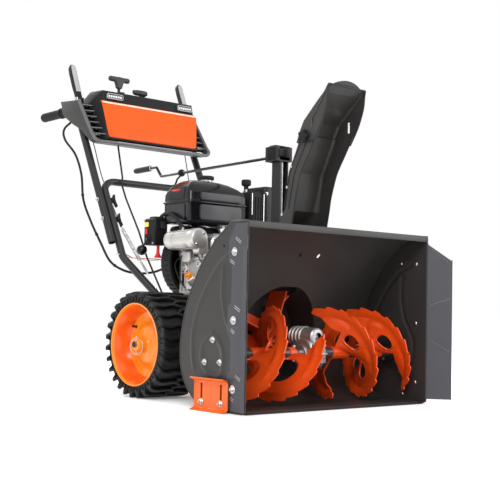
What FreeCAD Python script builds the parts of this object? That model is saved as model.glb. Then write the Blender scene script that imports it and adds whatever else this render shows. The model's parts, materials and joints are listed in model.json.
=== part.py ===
import FreeCAD, Part

# A two stage snowblower, in millimetres: +Z is up, the intake faces -Y, and the operator
# stands at +Y facing -Y, so the operator's right hand side is -X.
# Every sub-part is drawn with y counted from the intake's front edge, and then moved so that
# the origin lies on the ground under the middle of the whole machine.

import math
import os

V = FreeCAD.Vector
UP = V(0, 0, 1)
doc = FreeCAD.newDocument("snowblower")

# ---------------------------------------------------------------- driving dimensions

DIMENSIONS = [
    ("middle_y", 646.0, "distance from the intake's front edge back to the origin"),
    ("clear_width", 720.0, "width over the side plates"),
    ("intake_height", 511.0, "top of the intake above the ground"),
    ("sheet_thick", 2.5, "rolled sheet of the housing"),
    ("plate_thick", 3.0, "side plates"),
    ("auger_y", 140.0, "auger axis, back from the front edge"),
    ("auger_z", 152.0, "auger axis, above the ground"),
    ("auger_radius", 138.0, "tip of the auger flights"),
    ("barrel_radius", 148.0, "lower part of the housing, about the auger axis"),
    ("shaft_radius", 12.5, "auger and impeller shafts"),
    ("running_gap", 0.05, "radial clearance of a shaft in its bearing"),
    ("impeller_z", 200.0, "impeller axis, above the ground"),
    ("drum_radius", 150.0, "inside of the impeller drum"),
    ("impeller_radius", 144.0, "tip of the impeller blades"),
    ("drum_back", 385.0, "back wall of the impeller drum"),
    ("wheel_y", 563.6, "wheel axis, back from the front edge"),
    ("wheel_radius", 162.4, "tyre, over the lugs"),
    ("rim_radius", 124.0, "lip of the rim"),
    ("wheel_inner", 160.0, "inner face of the tyre"),
    ("wheel_width", 174.0, "tyre width"),
    ("axle_radius", 9.5, "drive axle"),
    ("frame_half", 130.0, "half width of the transmission case"),
    ("frame_front", 455.0, "front wall of the transmission case"),
    ("frame_back", 700.0, "back wall of the transmission case"),
    ("frame_top", 298.0, "engine deck"),
    ("frame_wall", 3.0, "sheet of the transmission case"),
    ("engine_x", -30.0, "crankshaft axis"),
    ("engine_z", 425.0, "crankshaft axis"),
    ("chute_x", 15.0, "axis about which the chute turns"),
    ("chute_y", 205.0, "axis about which the chute turns"),
    ("collar_z", 482.0, "top face of the chute's fixed collar"),
    ("chute_half", 72.0, "half width of the chute"),
    ("gear_module", 3.0, "teeth of the chute's ring and pinion"),
    ("ring_teeth", 60.0, "chute ring"),
    ("pinion_teeth", 10.0, "chute pinion"),
    ("hood_y", 107.0, "hinge of the hood"),
    ("hood_z", 782.0, "hinge of the hood"),
    ("tube_radius", 12.7, "handle tubes"),
    ("tube_wall", 1.8, "handle tubes"),
    ("lower_half", 209.0, "legs of the lower handle"),
    ("upper_half", 236.0, "tubes of the upper handle"),
    ("grip_z", 971.0, "height of the handle grips"),
    ("grip_end", 1350.0, "rear end of the grips"),
    ("crank_radius", 5.0, "chute crank rod"),
    ("lever_length", 150.0, "squeeze levers"),
]

dims = doc.addObject("Spreadsheet::Sheet", "Dims")
for row, (alias, value, note) in enumerate(DIMENSIONS, start=1):
    dims.set("A%d" % row, alias)
    dims.set("B%d" % row, repr(value))
    dims.set("C%d" % row, note)
    dims.setAlias("B%d" % row, alias)
doc.recompute()


class Sizes:
    """Reads a driving dimension from the sheet by its alias."""

    def __getattr__(self, alias):
        return float(dims.get(alias))


S = Sizes()
HALF = S.clear_width / 2
SIDES = {"right": -1, "left": 1}
LABELS = []

# ---------------------------------------------------------------- drawing helpers


def bind(obj, prop, size):
    """Sets a size: text is an expression of the sheet's cells, a number is itself."""
    if isinstance(size, str):
        obj.setExpression(prop, size)
    else:
        setattr(obj, prop, size)


def fillet_points(before, corner, after, radius):
    """Where a round of the given radius leaves and meets the two lines at a corner."""
    back = (before - corner).normalize()
    ahead = (after - corner).normalize()
    half_turn = back.getAngle(ahead) / 2
    reach = radius / math.tan(half_turn)
    middle = (back + ahead).normalize()
    centre = corner + middle * (radius / math.sin(half_turn))
    return corner + back * reach, centre - middle * radius, corner + ahead * reach


def outline_geometry(loop):
    """Lines and arcs of a closed outline. A corner is (u, v), or (u, v, radius) where it is
    rounded, and ("via", u, v) makes an arc through that point to the next corner."""
    if loop[0] == "circle":
        return [Part.Circle(V(loop[1], loop[2], 0), UP, loop[3])]
    spots = [item for item in loop if item[0] != "via"]
    mids = {}
    count = -1
    for item in loop:
        if item[0] == "via":
            mids[count] = V(item[1], item[2], 0)
        else:
            count += 1
    places = [V(item[0], item[1], 0) for item in spots]
    total = len(places)
    arrive, leave, geometry = [], [], []
    for index, item in enumerate(spots):
        corner = places[index]
        if len(item) == 3 and item[2] > 0:
            start, middle, end = fillet_points(places[index - 1], corner,
                                               places[(index + 1) % total], item[2])
            geometry.append(Part.Arc(start, middle, end))
        else:
            start = end = corner
        arrive.append(start)
        leave.append(end)
    for index in range(total):
        start, end = leave[index], arrive[(index + 1) % total]
        if index in mids:
            geometry.append(Part.Arc(start, mids[index], end))
        elif (end - start).Length > 1e-6:
            geometry.append(Part.LineSegment(start, end))
    return geometry


PLANES = {"XY": ("XY_Plane", 1), "XZ": ("XZ_Plane", -1), "YZ": ("YZ_Plane", 1)}


def add_sketch(body, plane, offset, *loops):
    """A sketch on one of the body's own origin planes, moved along the plane's axis."""
    role, sign = PLANES[plane]
    sketch = body.newObject("Sketcher::SketchObject", "Outline")
    support = [item for item in body.Origin.OriginFeatures if item.Role == role][0]
    sketch.AttachmentSupport = [(support, "")]
    sketch.MapMode = "FlatFace"
    sketch.AttachmentOffset = FreeCAD.Placement(V(0, 0, sign * offset), FreeCAD.Rotation())
    for loop in loops:
        for piece in outline_geometry(loop):
            sketch.addGeometry(piece, False)
    return sketch


def new_body(label):
    return doc.addObject("PartDesign::Body", label)


def add_pad(body, plane, start, length, *loops):
    """Material from `start` to `start + length` along the axis normal to the plane."""
    pad = body.newObject("PartDesign::Pad", "Pad")
    pad.Profile = add_sketch(body, plane, start, *loops)
    bind(pad, "Length", length)
    pad.Reversed = PLANES[plane][1] < 0
    body.Tip = pad
    return pad


def add_pocket(body, plane, start, length, *loops):
    """Removes material from `start` to `start + length`."""
    pocket = body.newObject("PartDesign::Pocket", "Pocket")
    pocket.Profile = add_sketch(body, plane, start, *loops)
    bind(pocket, "Length", length)
    pocket.Reversed = PLANES[plane][1] > 0
    body.Tip = pocket
    return pocket


def prism(label, plane, start, length, *loops):
    body = new_body(label)
    add_pad(body, plane, start, length, *loops)
    return body


def revolved(label, plane, axis, *loops, centre=(0, 0, 0)):
    """A body turned about its own V_Axis or H_Axis, then placed at `centre`."""
    body = new_body(label)
    turn = body.newObject("PartDesign::Revolution", "Revolution")
    sketch = add_sketch(body, plane, 0, *loops)
    turn.Profile = sketch
    turn.ReferenceAxis = (sketch, [axis])
    turn.Angle = 360
    body.Tip = turn
    body.Placement.Base = V(*centre)
    return body


def box(low, size):
    obj = doc.addObject("Part::Box", "Box")
    for prop, value in zip(("Length", "Width", "Height"), size):
        bind(obj, prop, value)
    obj.Placement.Base = V(*low)
    return obj


def cylinder(radius, height, base, axis=(0, 0, 1)):
    obj = doc.addObject("Part::Cylinder", "Cylinder")
    bind(obj, "Radius", radius)
    bind(obj, "Height", height)
    obj.Placement = FreeCAD.Placement(V(*base), FreeCAD.Rotation(UP, V(*axis)))
    return obj


def fuse(label, *objects):
    obj = doc.addObject("Part::MultiFuse", label)
    obj.Shapes = list(objects)
    return obj


def cut(label, base, *tools):
    obj = doc.addObject("Part::Cut", label)
    obj.Base = base
    obj.Tool = tools[0] if len(tools) == 1 else fuse("Tools", *tools)
    return obj


def group(label, *objects):
    """Identical or related loose pieces that share one node."""
    obj = doc.addObject("Part::Compound", label)
    obj.Links = list(objects)
    return obj


def shaped(label, shape):
    """A sub-part whose form no sketch feature or primitive gives."""
    obj = doc.addObject("Part::Feature", label)
    obj.Shape = shape
    return obj


def keep(obj):
    """Marks a finished sub-part: its label is its name in parts/."""
    obj.Label = obj.Name
    LABELS.append(obj.Name)
    return obj


def box_shape(low, high):
    return Part.makeBox(*[b - a for a, b in zip(low, high)], V(*low))


def rod_shape(start, end, radius):
    start, end = V(*start), V(*end)
    return Part.makeCylinder(radius, (end - start).Length, start, end - start)


def route(points, radius):
    """A wire of straight runs joined by tangent arcs. `radius` is one number or one per bend."""
    points = [V(*point) for point in points]
    radii = radius if isinstance(radius, (list, tuple)) else [radius] * (len(points) - 2)
    edges = []
    last = points[0]
    for index in range(1, len(points) - 1):
        start, middle, end = fillet_points(points[index - 1], points[index],
                                           points[index + 1], radii[index - 1])
        edges.append(Part.LineSegment(last, start).toShape())
        edges.append(Part.Arc(start, middle, end).toShape())
        last = end
    edges.append(Part.LineSegment(last, points[-1]).toShape())
    return Part.Wire(edges)


def tube_shape(points, bend, radius, bore=0.0):
    """A tube along a route, hollow when it has a bore."""
    path = route(points, bend)
    first = path.Edges[0]
    start = first.valueAt(first.FirstParameter)
    along = first.tangentAt(first.FirstParameter)
    shapes = []
    for size in (radius, bore):
        if size > 0:
            ring = Part.Wire([Part.Circle(start, along, size).toShape()])
            shapes.append(path.makePipeShell([ring], True, False))
    return shapes[0] if len(shapes) == 1 else shapes[0].cut(shapes[1])


def loft_shape(sections):
    """A ruled solid through closed outlines, each given as (z, loop)."""
    wires = []
    for height, loop in sections:
        edges = [piece.toShape() for piece in outline_geometry(loop)]
        wire = Part.Wire(Part.__sortEdges__(edges))
        wire.translate(V(0, 0, height))
        wires.append(wire)
    return Part.makeLoft(wires, True, True)


def mirrored_x(shape):
    return shape.mirror(V(0, 0, 0), V(1, 0, 0))


def turned(shape, centre, axis, angle):
    result = shape.copy()
    result.rotate(V(*centre), V(*axis), angle)
    return result


# ---------------------------------------------------------------- intake housing

UPPER_CURVE = [(66.0, 511.0), (207.0, 387.0), (288.0, 176.0)]


def circle_through(first, middle, last):
    """Centre and radius of the circle through three points."""
    ax, ay = first
    bx, by = middle
    cx, cy = last
    scale = 2 * (ax * (by - cy) + bx * (cy - ay) + cx * (ay - by))
    a2, b2, c2 = ax * ax + ay * ay, bx * bx + by * by, cx * cx + cy * cy
    u = (a2 * (by - cy) + b2 * (cy - ay) + c2 * (ay - by)) / scale
    v = (a2 * (cx - bx) + b2 * (ax - cx) + c2 * (bx - ax)) / scale
    return u, v, math.hypot(ax - u, ay - v)


def housing_curve(grow):
    """The housing's back, from its top corner round to the bottom: outline items (y, z)."""
    cu, cv, radius = circle_through(*UPPER_CURVE)
    upper = []
    for u, v in UPPER_CURVE:
        scale = (radius + grow) / radius
        upper.append((cu + (u - cu) * scale, cv + (v - cv) * scale))
    low = S.barrel_radius + grow
    slant = low * math.sqrt(0.5)
    return [upper[0], ("via",) + upper[1], upper[2],
            (S.auger_y + low, S.auger_z),
            ("via", S.auger_y + slant, S.auger_z - slant),
            (S.auger_y, S.auger_z - low)]


def housing_barrel():
    sheet, top = S.sheet_thick, S.intake_height
    outer = housing_curve(0)
    inner = housing_curve(-sheet)
    inner_back = [inner[5], inner[4], inner[3], inner[2], inner[1], inner[0]]
    bottom = S.auger_z - S.barrel_radius
    front_lip = [(sheet, top - sheet), (sheet, top - 17), (0, top - 17)]
    loop = [(0, top)] + outer + [(18, bottom), (18, bottom + sheet)] + inner_back + front_lip
    body = new_body("housing_barrel")
    wide = "Dims.clear_width - 2 * Dims.plate_thick"
    add_pad(body, "YZ", -HALF + S.plate_thick, wide, loop)
    mouth = ("circle", 0, S.impeller_z, S.drum_radius)
    add_pocket(body, "XZ", 230, 100, mouth)
    add_pocket(body, "XZ", 120, 100, ("circle", -24, 440, 6), ("circle", 50, 440, 6))
    keep(body)


def side_plates():
    plates = []
    for side in SIDES.values():
        start = HALF - S.plate_thick if side > 0 else -HALF
        loop = [(0, S.intake_height)] + housing_curve(0) + [(12, 3), (0, 8)]
        plates.append(prism("Plate", "YZ", start, "Dims.plate_thick", loop))
    keep(group("side_plates", *plates))


def scraper_bar():
    thick = 3.2
    top = S.auger_z - S.barrel_radius
    body = prism("scraper_bar", "XY", top - thick, thick,
                 [(-350, 2, 4), (350, 2, 4), (350, 52, 4), (-350, 52, 4)])
    keep(body)


SHOE_BOLTS = [(91.0, 24.0), (175.0, 24.0)]


def skid_shoes():
    """Reversible channels with out-turned runners, slotted for height."""
    shoes = []
    for side in SIDES.values():
        face = HALF + S.sheet_thick
        profile = [(0, 12), (11, 0), (25, 0), (25, 4), (13, 4), (4, 14),
                   (4, 76), (13, 86), (25, 86), (25, 90), (11, 90), (0, 78)]
        loop = [(side * (face + u), v) for u, v in profile]
        runner = prism("Runner", "XZ", 59, 146, loop)
        slots = []
        for y, z in SHOE_BOLTS:
            slots.append(box((min(side * (face - 2), side * (face + 8)), y - 4.5, 18), (10, 9, 56)))
        shoes.append(cut("Shoe", runner, *slots))
    keep(group("skid_shoes", *shoes))


WING_BOLTS = [(49.0, 429.0), (49.0, 247.0), (47.0, 65.0)]
WING_FLARE = 40.0
WING_REACH = 76.0


def wings():
    """Flange bolted to the side plate, then a blade flared outward and forward."""
    flare = math.radians(WING_FLARE)
    out, ahead = math.sin(flare), math.cos(flare)
    thick = S.sheet_thick
    pieces = []
    for side in SIDES.values():
        flange = [(0, 6), (56, 6), (74, 22), (74, 100), (60, 116), (60, 210), (74, 224), (74, 280),
                  (60, 296), (60, 392), (74, 408), (74, 462), (46, 505), (0, 505)]
        start = HALF if side > 0 else -HALF - thick
        plate = prism("Flange", "YZ", start, "Dims.sheet_thick", flange)
        x0, tip_x, tip_y = HALF, HALF + WING_REACH * out, -WING_REACH * ahead
        lip = 11.0
        blade = [(x0, 0), (tip_x, tip_y), (tip_x + lip * ahead, tip_y + lip * out),
                 (tip_x + lip * ahead - thick * out, tip_y + lip * out + thick * ahead),
                 (tip_x - thick * out + thick * ahead, tip_y + thick * ahead + thick * out),
                 (x0 + thick, 1.0), (x0 + thick, 4), (x0, 4)]
        blade = [(side * u, v) for u, v in blade]
        sheet = prism("Blade", "XY", 15, 475, blade)
        slope = prism("Slope", "YZ", -HALF - 90, 2 * HALF + 180,
                      [(-1, 486), (-43, 448), (-56, 436), (-75, 430), (-75, 600), (-1, 600)])
        pieces.append(fuse("Wing", plate, cut("Trimmed", sheet, slope)))
    keep(group("wings", *pieces))


BEARING_BOLTS = [(138.6, 192.4), (172.3, 130.7), (105.8, 132.9)]


def bolt_shape(at, axis, radius=7.5, height=5.0):
    """A domed head on a washer, standing on a face."""
    at, axis = V(*at), V(*axis)
    washer = Part.makeCylinder(radius * 1.35, 1.5, at, axis)
    head = Part.makeCone(radius, radius * 0.6, height, at + axis * 1.5, axis)
    return washer.fuse(head)


def housing_bolts():
    solids = []
    for side in SIDES.values():
        axis = (side, 0, 0)
        for y, z in BEARING_BOLTS:
            solids.append(bolt_shape((side * HALF, y, z), axis, 6.5))
        for y, z in WING_BOLTS:
            solids.append(bolt_shape((side * (HALF + S.sheet_thick), y, z), axis))
        for y, z in SHOE_BOLTS:
            solids.append(bolt_shape((side * (HALF + S.sheet_thick + 4), y, z), axis, 6.0, 9.0))
    keep(shaped("housing_bolts", Part.makeCompound(solids)))


NECK_RADIUS = 72.0
COLLAR_RADIUS = 96.0


def neck_shape(grow, top):
    """The slanted passage from the drum up to the chute's collar and on to a height `top`."""
    sides = 40
    low_y, low_z, low_radius = 318.0, 325.0, 60.0
    rings = []
    for z in (low_z, top):
        share = (z - low_z) / (S.collar_z - low_z)
        y = low_y + (S.chute_y - low_y) * share
        radius = low_radius + (NECK_RADIUS - low_radius) * share
        ring = []
        for index in range(sides):
            angle = 2 * math.pi * (index + 0.5) / sides
            ring.append(V(S.chute_x + (radius + grow) * math.cos(angle),
                          y + (radius + grow) * math.sin(angle), z))
        rings.append(ring)
    faces = [Part.Face(Part.makePolygon(ring + ring[:1])) for ring in rings]
    for index in range(sides):
        after = (index + 1) % sides
        quad = [rings[0][index], rings[0][after], rings[1][after], rings[1][index]]
        faces.append(Part.Face(Part.makePolygon(quad + quad[:1])))
    solid = Part.makeSolid(Part.makeShell(faces))
    return solid if solid.Volume > 0 else solid.reversed()


def pinion_place():
    """The pinion stands behind the ring, a little to the left of its axis."""
    apart = S.gear_module * (S.ring_teeth + S.pinion_teeth) / 2
    lean = math.radians(83)
    return S.chute_x + apart * math.cos(lean), S.chute_y + apart * math.sin(lean)


def impeller_housing():
    """Drum behind the intake with the neck that carries the chute's collar."""
    sheet, back = S.sheet_thick, S.drum_back
    centre = V(0, 150, S.impeller_z)
    drum = Part.makeCylinder(S.drum_radius + sheet, back + sheet - 150, centre, V(0, 1, 0))
    hollow = Part.makeCylinder(S.drum_radius, back - 140, centre - V(0, 10, 0), V(0, 1, 0))
    outer = neck_shape(sheet, S.collar_z - 2)
    inner = neck_shape(0, S.collar_z + 4)
    px, py = pinion_place()
    collar = Part.makeCylinder(COLLAR_RADIUS, 4, V(S.chute_x, S.chute_y, S.collar_z - 4), UP)
    lug = box_shape((px - 22, S.chute_y + 60, S.collar_z - 4), (px + 26, py + 30, S.collar_z))
    stay = box_shape((S.chute_x - 60, S.chute_y - 86, 466), (S.chute_x + 60, S.chute_y - 82, 478))
    skin = drum.fuse([outer, collar, lug, stay])
    loop = [(-60, S.intake_height)] + [(0, S.intake_height)] + housing_curve(0) + [(-60, 4)]
    edges = [piece.toShape() for piece in outline_geometry(loop)]
    face = Part.Face(Part.Wire(Part.__sortEdges__(edges)))
    face.Placement = FreeCAD.Placement(V(-400, 0, 0), FreeCAD.Rotation(V(0, 1, 0), UP, V(1, 0, 0)))
    bucket = face.extrude(V(800, 0, 0))
    bore = Part.makeCylinder(30, 20, V(0, back - 10, S.impeller_z), V(0, 1, 0))
    shape = skin.cut([bucket, hollow, inner, bore])
    solid = max(shape.Solids, key=lambda item: item.Volume)
    keep(shaped("impeller_housing", solid))


# ---------------------------------------------------------------- auger and impeller

GEARBOX_HALF = 30.0


def auger_gearbox():
    """Cast box that joins the auger shaft to the impeller shaft with a worm."""
    y, z, top = S.auger_y, S.auger_z, S.impeller_z
    body = Part.makeCylinder(47, 2 * GEARBOX_HALF, V(-GEARBOX_HALF, y, z), V(1, 0, 0))
    worm = Part.makeCylinder(27, 98, V(0, y - 36, top), V(0, 1, 0))
    body = body.fuse(worm)
    for x in (-GEARBOX_HALF - 8, GEARBOX_HALF):
        body = body.fuse(Part.makeCylinder(24, 8, V(x, y, z), V(1, 0, 0)))
    for dy in (14, 28, 42, 56):
        body = body.fuse(Part.makeCylinder(30, 4, V(0, y + dy, top), V(0, 1, 0)))
    wheel_room = Part.makeCylinder(40, 34, V(-17, y, z), V(1, 0, 0))
    worm_room = Part.makeCylinder(19, 60, V(0, y - 30, top), V(0, 1, 0))
    fit = S.shaft_radius + S.running_gap
    across = Part.makeCylinder(fit, 100, V(-50, y, z), V(1, 0, 0))
    along = Part.makeCylinder(fit, 80, V(0, y, top), V(0, 1, 0))
    keep(shaped("auger_gearbox", body.cut([wheel_room, worm_room, across, along])))


def bearings():
    """Flanged bushes of the auger, the impeller and the drive axle."""
    rings = []
    fit = S.shaft_radius + S.running_gap
    inner = HALF - S.plate_thick
    for side in SIDES.values():
        face = side * inner
        axis = V(-side, 0, 0)
        at = V(face, S.auger_y, S.auger_z)
        ring = Part.makeCylinder(46, 4, at, axis).fuse(Part.makeCylinder(24, 16, at, axis))
        rings.append(ring.cut(Part.makeCylinder(fit, 40, at - axis * 5, axis)))
    back = V(0, S.drum_back + S.sheet_thick, S.impeller_z)
    ring = Part.makeCylinder(44, 4, back, V(0, 1, 0))
    ring = ring.fuse(Part.makeCylinder(29.9, S.sheet_thick + 8, back - V(0, S.sheet_thick + 8, 0),
                                       V(0, 1, 0)))
    rings.append(ring.cut(Part.makeCylinder(fit, 40, back - V(0, 20, 0), V(0, 1, 0))))
    axle_fit = S.axle_radius + S.running_gap
    for side in SIDES.values():
        at = V(side * (S.frame_half - S.frame_wall - 9), S.wheel_y, S.wheel_radius)
        ring = Part.makeCylinder(18, 9, at, V(side, 0, 0))
        rings.append(ring.cut(Part.makeCylinder(axle_fit, 20, at - V(side * 5, 0, 0), V(side, 0, 0))))
    keep(shaped("bearings", Part.makeCompound(rings)))


def auger_shaft():
    """One shaft right across, with the worm wheel at its middle and the shear pins."""
    end = HALF - S.plate_thick - 1
    at = V(-end, S.auger_y, S.auger_z)
    shape = Part.makeCylinder(S.shaft_radius, 2 * end, at, V(1, 0, 0))
    wheel = Part.makeCylinder(33, 18, V(-9, S.auger_y, S.auger_z), V(1, 0, 0))
    shape = shape.fuse(wheel)
    for side in SIDES.values():
        pin = Part.makeCylinder(4, 46, V(side * SHEAR_X, S.auger_y, S.auger_z - 23), UP)
        cap = Part.makeCylinder(7, 5, V(side * SHEAR_X, S.auger_y, S.auger_z + 19), UP)
        shape = shape.fuse([pin, cap])
    keep(shaped("auger_shaft", shape))


SHEAR_X = 62.0
FLIGHT_START = 50.0
FLIGHT_END = 336.0
SLEEVE_RADIUS = 18.0
FLIGHT_PITCH = 286.0
FLIGHT_THICK = 4.0


def ribbon_shape(start_angle, inner, outer, turns):
    """A helical band about Z, cut out into curved spokes and notched at its rim."""
    height = FLIGHT_PITCH * turns
    helix = Part.makeHelix(FLIGHT_PITCH, height, outer)
    profile = Part.makePolygon([V(inner, 0, -FLIGHT_THICK / 2), V(outer, 0, -FLIGHT_THICK / 2),
                                V(outer, 0, FLIGHT_THICK / 2), V(inner, 0, FLIGHT_THICK / 2),
                                V(inner, 0, -FLIGHT_THICK / 2)])
    band = Part.Wire(helix.Edges).makePipeShell([profile], True, True)
    return turned(band, (0, 0, 0), (0, 0, 1), start_angle)


def sector_prism(inner, outer, middle, half, height):
    """A kidney shaped prism about Z, used to open the flights between their spokes."""
    points = []
    for radius, sign in ((inner, 1), (outer, -1)):
        for step in (-1, 0, 1):
            angle = math.radians(middle + sign * step * half)
            points.append(V(radius * math.cos(angle), radius * math.sin(angle), -20))
    edges = [Part.Arc(points[0], points[1], points[2]).toShape(),
             Part.LineSegment(points[2], points[3]).toShape(),
             Part.Arc(points[3], points[4], points[5]).toShape(),
             Part.LineSegment(points[5], points[0]).toShape()]
    return Part.Face(Part.Wire(edges)).extrude(V(0, 0, height))


def flight_shape(start_angle):
    """Sleeve with two serrated spiral ribbons, drawn along Z and laid along +X."""
    length = FLIGHT_END - FLIGHT_START
    turns = (length - 8) / FLIGHT_PITCH
    openings = []
    for index in range(6):
        openings.append(sector_prism(44, 88, 30 + 60 * index, 20, length + 40))
    for index in range(20):
        angle = math.radians(index * 18)
        at = V((S.auger_radius + 4) * math.cos(angle), (S.auger_radius + 4) * math.sin(angle), -20)
        openings.append(Part.makeCylinder(9, length + 40, at, UP))
    shape = Part.makeCylinder(SLEEVE_RADIUS, length)
    for turn in (0, 180):
        ribbon = ribbon_shape(start_angle + turn, SLEEVE_RADIUS - 1, S.auger_radius, turns)
        ribbon = ribbon.cut(openings)
        ribbon.translate(V(0, 0, 4))
        shape = shape.fuse(max(ribbon.Solids, key=lambda item: item.Volume))
    shape = shape.cut([Part.makeCylinder(S.shaft_radius, length + 20, V(0, 0, -10)),
                       Part.makeCylinder(4, 80, V(0, 40, SHEAR_X - FLIGHT_START), V(0, -1, 0)),
                       Part.makeCylinder(8, 12, V(0, 18.2, SHEAR_X - FLIGHT_START), V(0, 1, 0))])
    shape.rotate(V(0, 0, 0), V(0, 1, 0), 90)
    shape.translate(V(FLIGHT_START, 0, 0))
    return max(shape.Solids, key=lambda item: item.Volume)


def auger_flights():
    """The ribbons on the two sides stand a quarter turn apart."""
    solids = []
    for side, start_angle in ((1, 68.0), (-1, 153.6)):
        shape = flight_shape(start_angle)
        shape.rotate(V(0, 0, 0), V(1, 0, 0), 90)
        if side < 0:
            shape = mirrored_x(shape)
        shape.translate(V(0, S.auger_y, S.auger_z))
        solids.append(shape)
    keep(shaped("auger_flights", Part.makeCompound(solids)))


def impeller():
    """Hub with four curved throwing blades and their tip plates."""
    front, back = 296.0, 372.0
    hub = Part.makeCylinder(24, back - front, V(0, front, 0), V(0, 1, 0))
    shape = hub
    for index in range(4):
        blade = box_shape((-2, front, 14), (2, back, S.impeller_radius))
        tip = box_shape((-2, front, S.impeller_radius - 34), (2, back, S.impeller_radius - 8))
        tip = turned(tip, (0, 0, S.impeller_radius - 34), (0, 1, 0), 28)
        web = box_shape((-2, back - 4, 14), (46, back, 96))
        arm = turned(blade.fuse([web, tip]), (0, 0, 0), (0, 1, 0), 90 * index + 20)
        shape = shape.fuse(arm)
    shape = shape.cut(Part.makeCylinder(S.shaft_radius, 200, V(0, 200, 0), V(0, 1, 0)))
    shape.translate(V(0, 0, S.impeller_z))
    keep(shaped("impeller", shape))


def impeller_shaft():
    """Shaft with the worm at its front end."""
    start = S.auger_y - 28
    shape = Part.makeCylinder(S.shaft_radius, 458 - start, V(0, start, S.impeller_z), V(0, 1, 0))
    worm = Part.makeCylinder(14.5, 40, V(0, S.auger_y - 22, S.impeller_z), V(0, 1, 0))
    keep(shaped("impeller_shaft", shape.fuse(worm)))


BELT_Y = 422.0


def pulley_loop(radius, bore, width=24.0, depth=11.0):
    """Section (radius, distance along the axis) of a grooved pulley."""
    half = width / 2
    return [(bore, -half), (radius, -half), (radius, -half + 4), (radius - depth, -3.5),
            (radius - depth, 3.5), (radius, half - 4), (radius, half), (bore, half)]


def pulleys():
    body = revolved("impeller_pulley", "XY", "V_Axis", pulley_loop(100, S.shaft_radius),
                    centre=(0, BELT_Y, S.impeller_z))
    keep(body)
    crank = revolved("Crank", "XY", "V_Axis",
                     [(0, -20), (12, -20), (12, -12), (38, -12), (38, -8), (28, -3.5), (28, 3.5),
                      (38, 8), (38, 12), (12.5, 12), (12.5, 120), (0, 120)],
                     centre=(S.engine_x, BELT_Y, S.engine_z))
    crank.Label = "engine_pulley"
    LABELS.append(crank.Name)


def drive_belt():
    """V belt round both pulleys, clear of their grooves by a hair."""
    low = V(0, BELT_Y, S.impeller_z)
    high = V(S.engine_x, BELT_Y, S.engine_z)
    big, small, thick = 89.4, 28.4, 8.0

    def hull(grow):
        r1, r2 = big + grow, small + grow
        line = high - low
        span = line.Length
        tilt = math.atan2(line.x, line.z)
        lean = math.asin((r1 - r2) / span)
        points = []
        for side in (1, -1):
            angle = tilt + side * (math.pi / 2 - lean)
            for centre, radius in ((low, r1), (high, r2)):
                points.append(centre + V(math.sin(angle), 0, math.cos(angle)) * radius)
        bottom = low - line.normalize() * r1
        line = (high - low).normalize()
        top = high + line * r2
        edges = [Part.LineSegment(points[0], points[1]).toShape(),
                 Part.Arc(points[1], top, points[3]).toShape(),
                 Part.LineSegment(points[3], points[2]).toShape(),
                 Part.Arc(points[2], bottom, points[0]).toShape()]
        face = Part.Face(Part.Wire(edges))
        solid = face.extrude(V(0, 6.4, 0))
        solid.translate(V(0, -3.2, 0))
        return solid

    keep(shaped("drive_belt", hull(thick).cut(hull(0))))


# ---------------------------------------------------------------- frame, wheels


def frame_case():
    """Folded sheet case: deck, sides and back, with its side plates run on to the drum."""
    wall, half = S.frame_wall, S.frame_half
    low = 112.0
    front_end = S.drum_back + S.sheet_thick
    outer = box_shape((-half, S.frame_front, low), (half, S.frame_back, S.frame_top))
    inner = box_shape((-half + wall, S.frame_front + wall, low + wall),
                      (half - wall, S.frame_back - wall, S.frame_top - wall))
    shape = outer.cut(inner)
    for side in SIDES.values():
        x = min(side * half, side * (half - wall))
        loop = [(front_end, 150), (S.frame_front, low), (S.frame_front, S.frame_top),
                (front_end, S.frame_top - 8)]
        points = [V(x, y, z) for y, z in loop + loop[:1]]
        ear = Part.Face(Part.makePolygon(points)).extrude(V(wall, 0, 0))
        shape = shape.fuse(ear)
    axle = Part.makeCylinder(14, 2 * half + 20, V(-half - 10, S.wheel_y, S.wheel_radius), V(1, 0, 0))
    rear = Part.makeCylinder(30, 40, V(0, S.frame_front - 10, S.impeller_z), V(0, 1, 0))
    shape = shape.cut([axle, rear])
    keep(shaped("frame_case", shape))


def drive_axle():
    """Axle with its driving gear and the cross pins that hold the wheels on."""
    tip = S.wheel_inner + S.wheel_width - 2
    shape = Part.makeCylinder(S.axle_radius, 2 * tip, V(-tip, S.wheel_y, S.wheel_radius), V(1, 0, 0))
    gear = Part.makeCylinder(44, 14, V(-60, S.wheel_y, S.wheel_radius), V(1, 0, 0))
    shape = shape.fuse(gear)
    for side in SIDES.values():
        pin = Part.makeCylinder(3, 48, V(side * PIN_X, S.wheel_y, S.wheel_radius - 24), UP)
        shape = shape.fuse(pin)
    keep(shaped("drive_axle", shape))


PIN_X = 322.0


def rims():
    """Deep dished rims, stepped along the barrel."""
    lip = S.rim_radius
    mid = S.wheel_width / 2
    outline = [(lip + 2, mid), (lip - 3, mid), (lip - 8, mid - 8), (lip - 14, mid - 16),
               (lip - 17, mid - 30), (52, mid - 34), (46, mid - 28), (22, mid - 28), (18, mid - 4),
               (S.axle_radius, mid - 4), (S.axle_radius, mid - 60), (20, mid - 60),
               (22, mid - 33), (44, mid - 33), (50, mid - 39), (lip - 20, mid - 35),
               (lip - 22, -mid + 14), (lip - 8, -mid), (lip + 2, -mid), (lip - 2, -mid + 6),
               (lip - 16, -mid + 20), (lip - 14, mid - 30), (lip - 5, mid - 12), (lip + 2, mid - 4)]
    pieces = []
    for side in SIDES.values():
        loop = [(u, side * v) for u, v in outline]
        body = revolved("Rim", "XY", "V_Axis", loop)
        pin = side * (PIN_X - S.wheel_inner - mid)
        add_pocket(body, "XY", -30, 60, ("circle", 0, pin, 3))
        turn = FreeCAD.Rotation(UP, -90)
        at = V(side * (S.wheel_inner + mid), S.wheel_y, S.wheel_radius)
        body.Placement = FreeCAD.Placement(at, turn)
        pieces.append(body)
    keep(group("rims", *pieces))


TYRE_LUGS = 20


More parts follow.
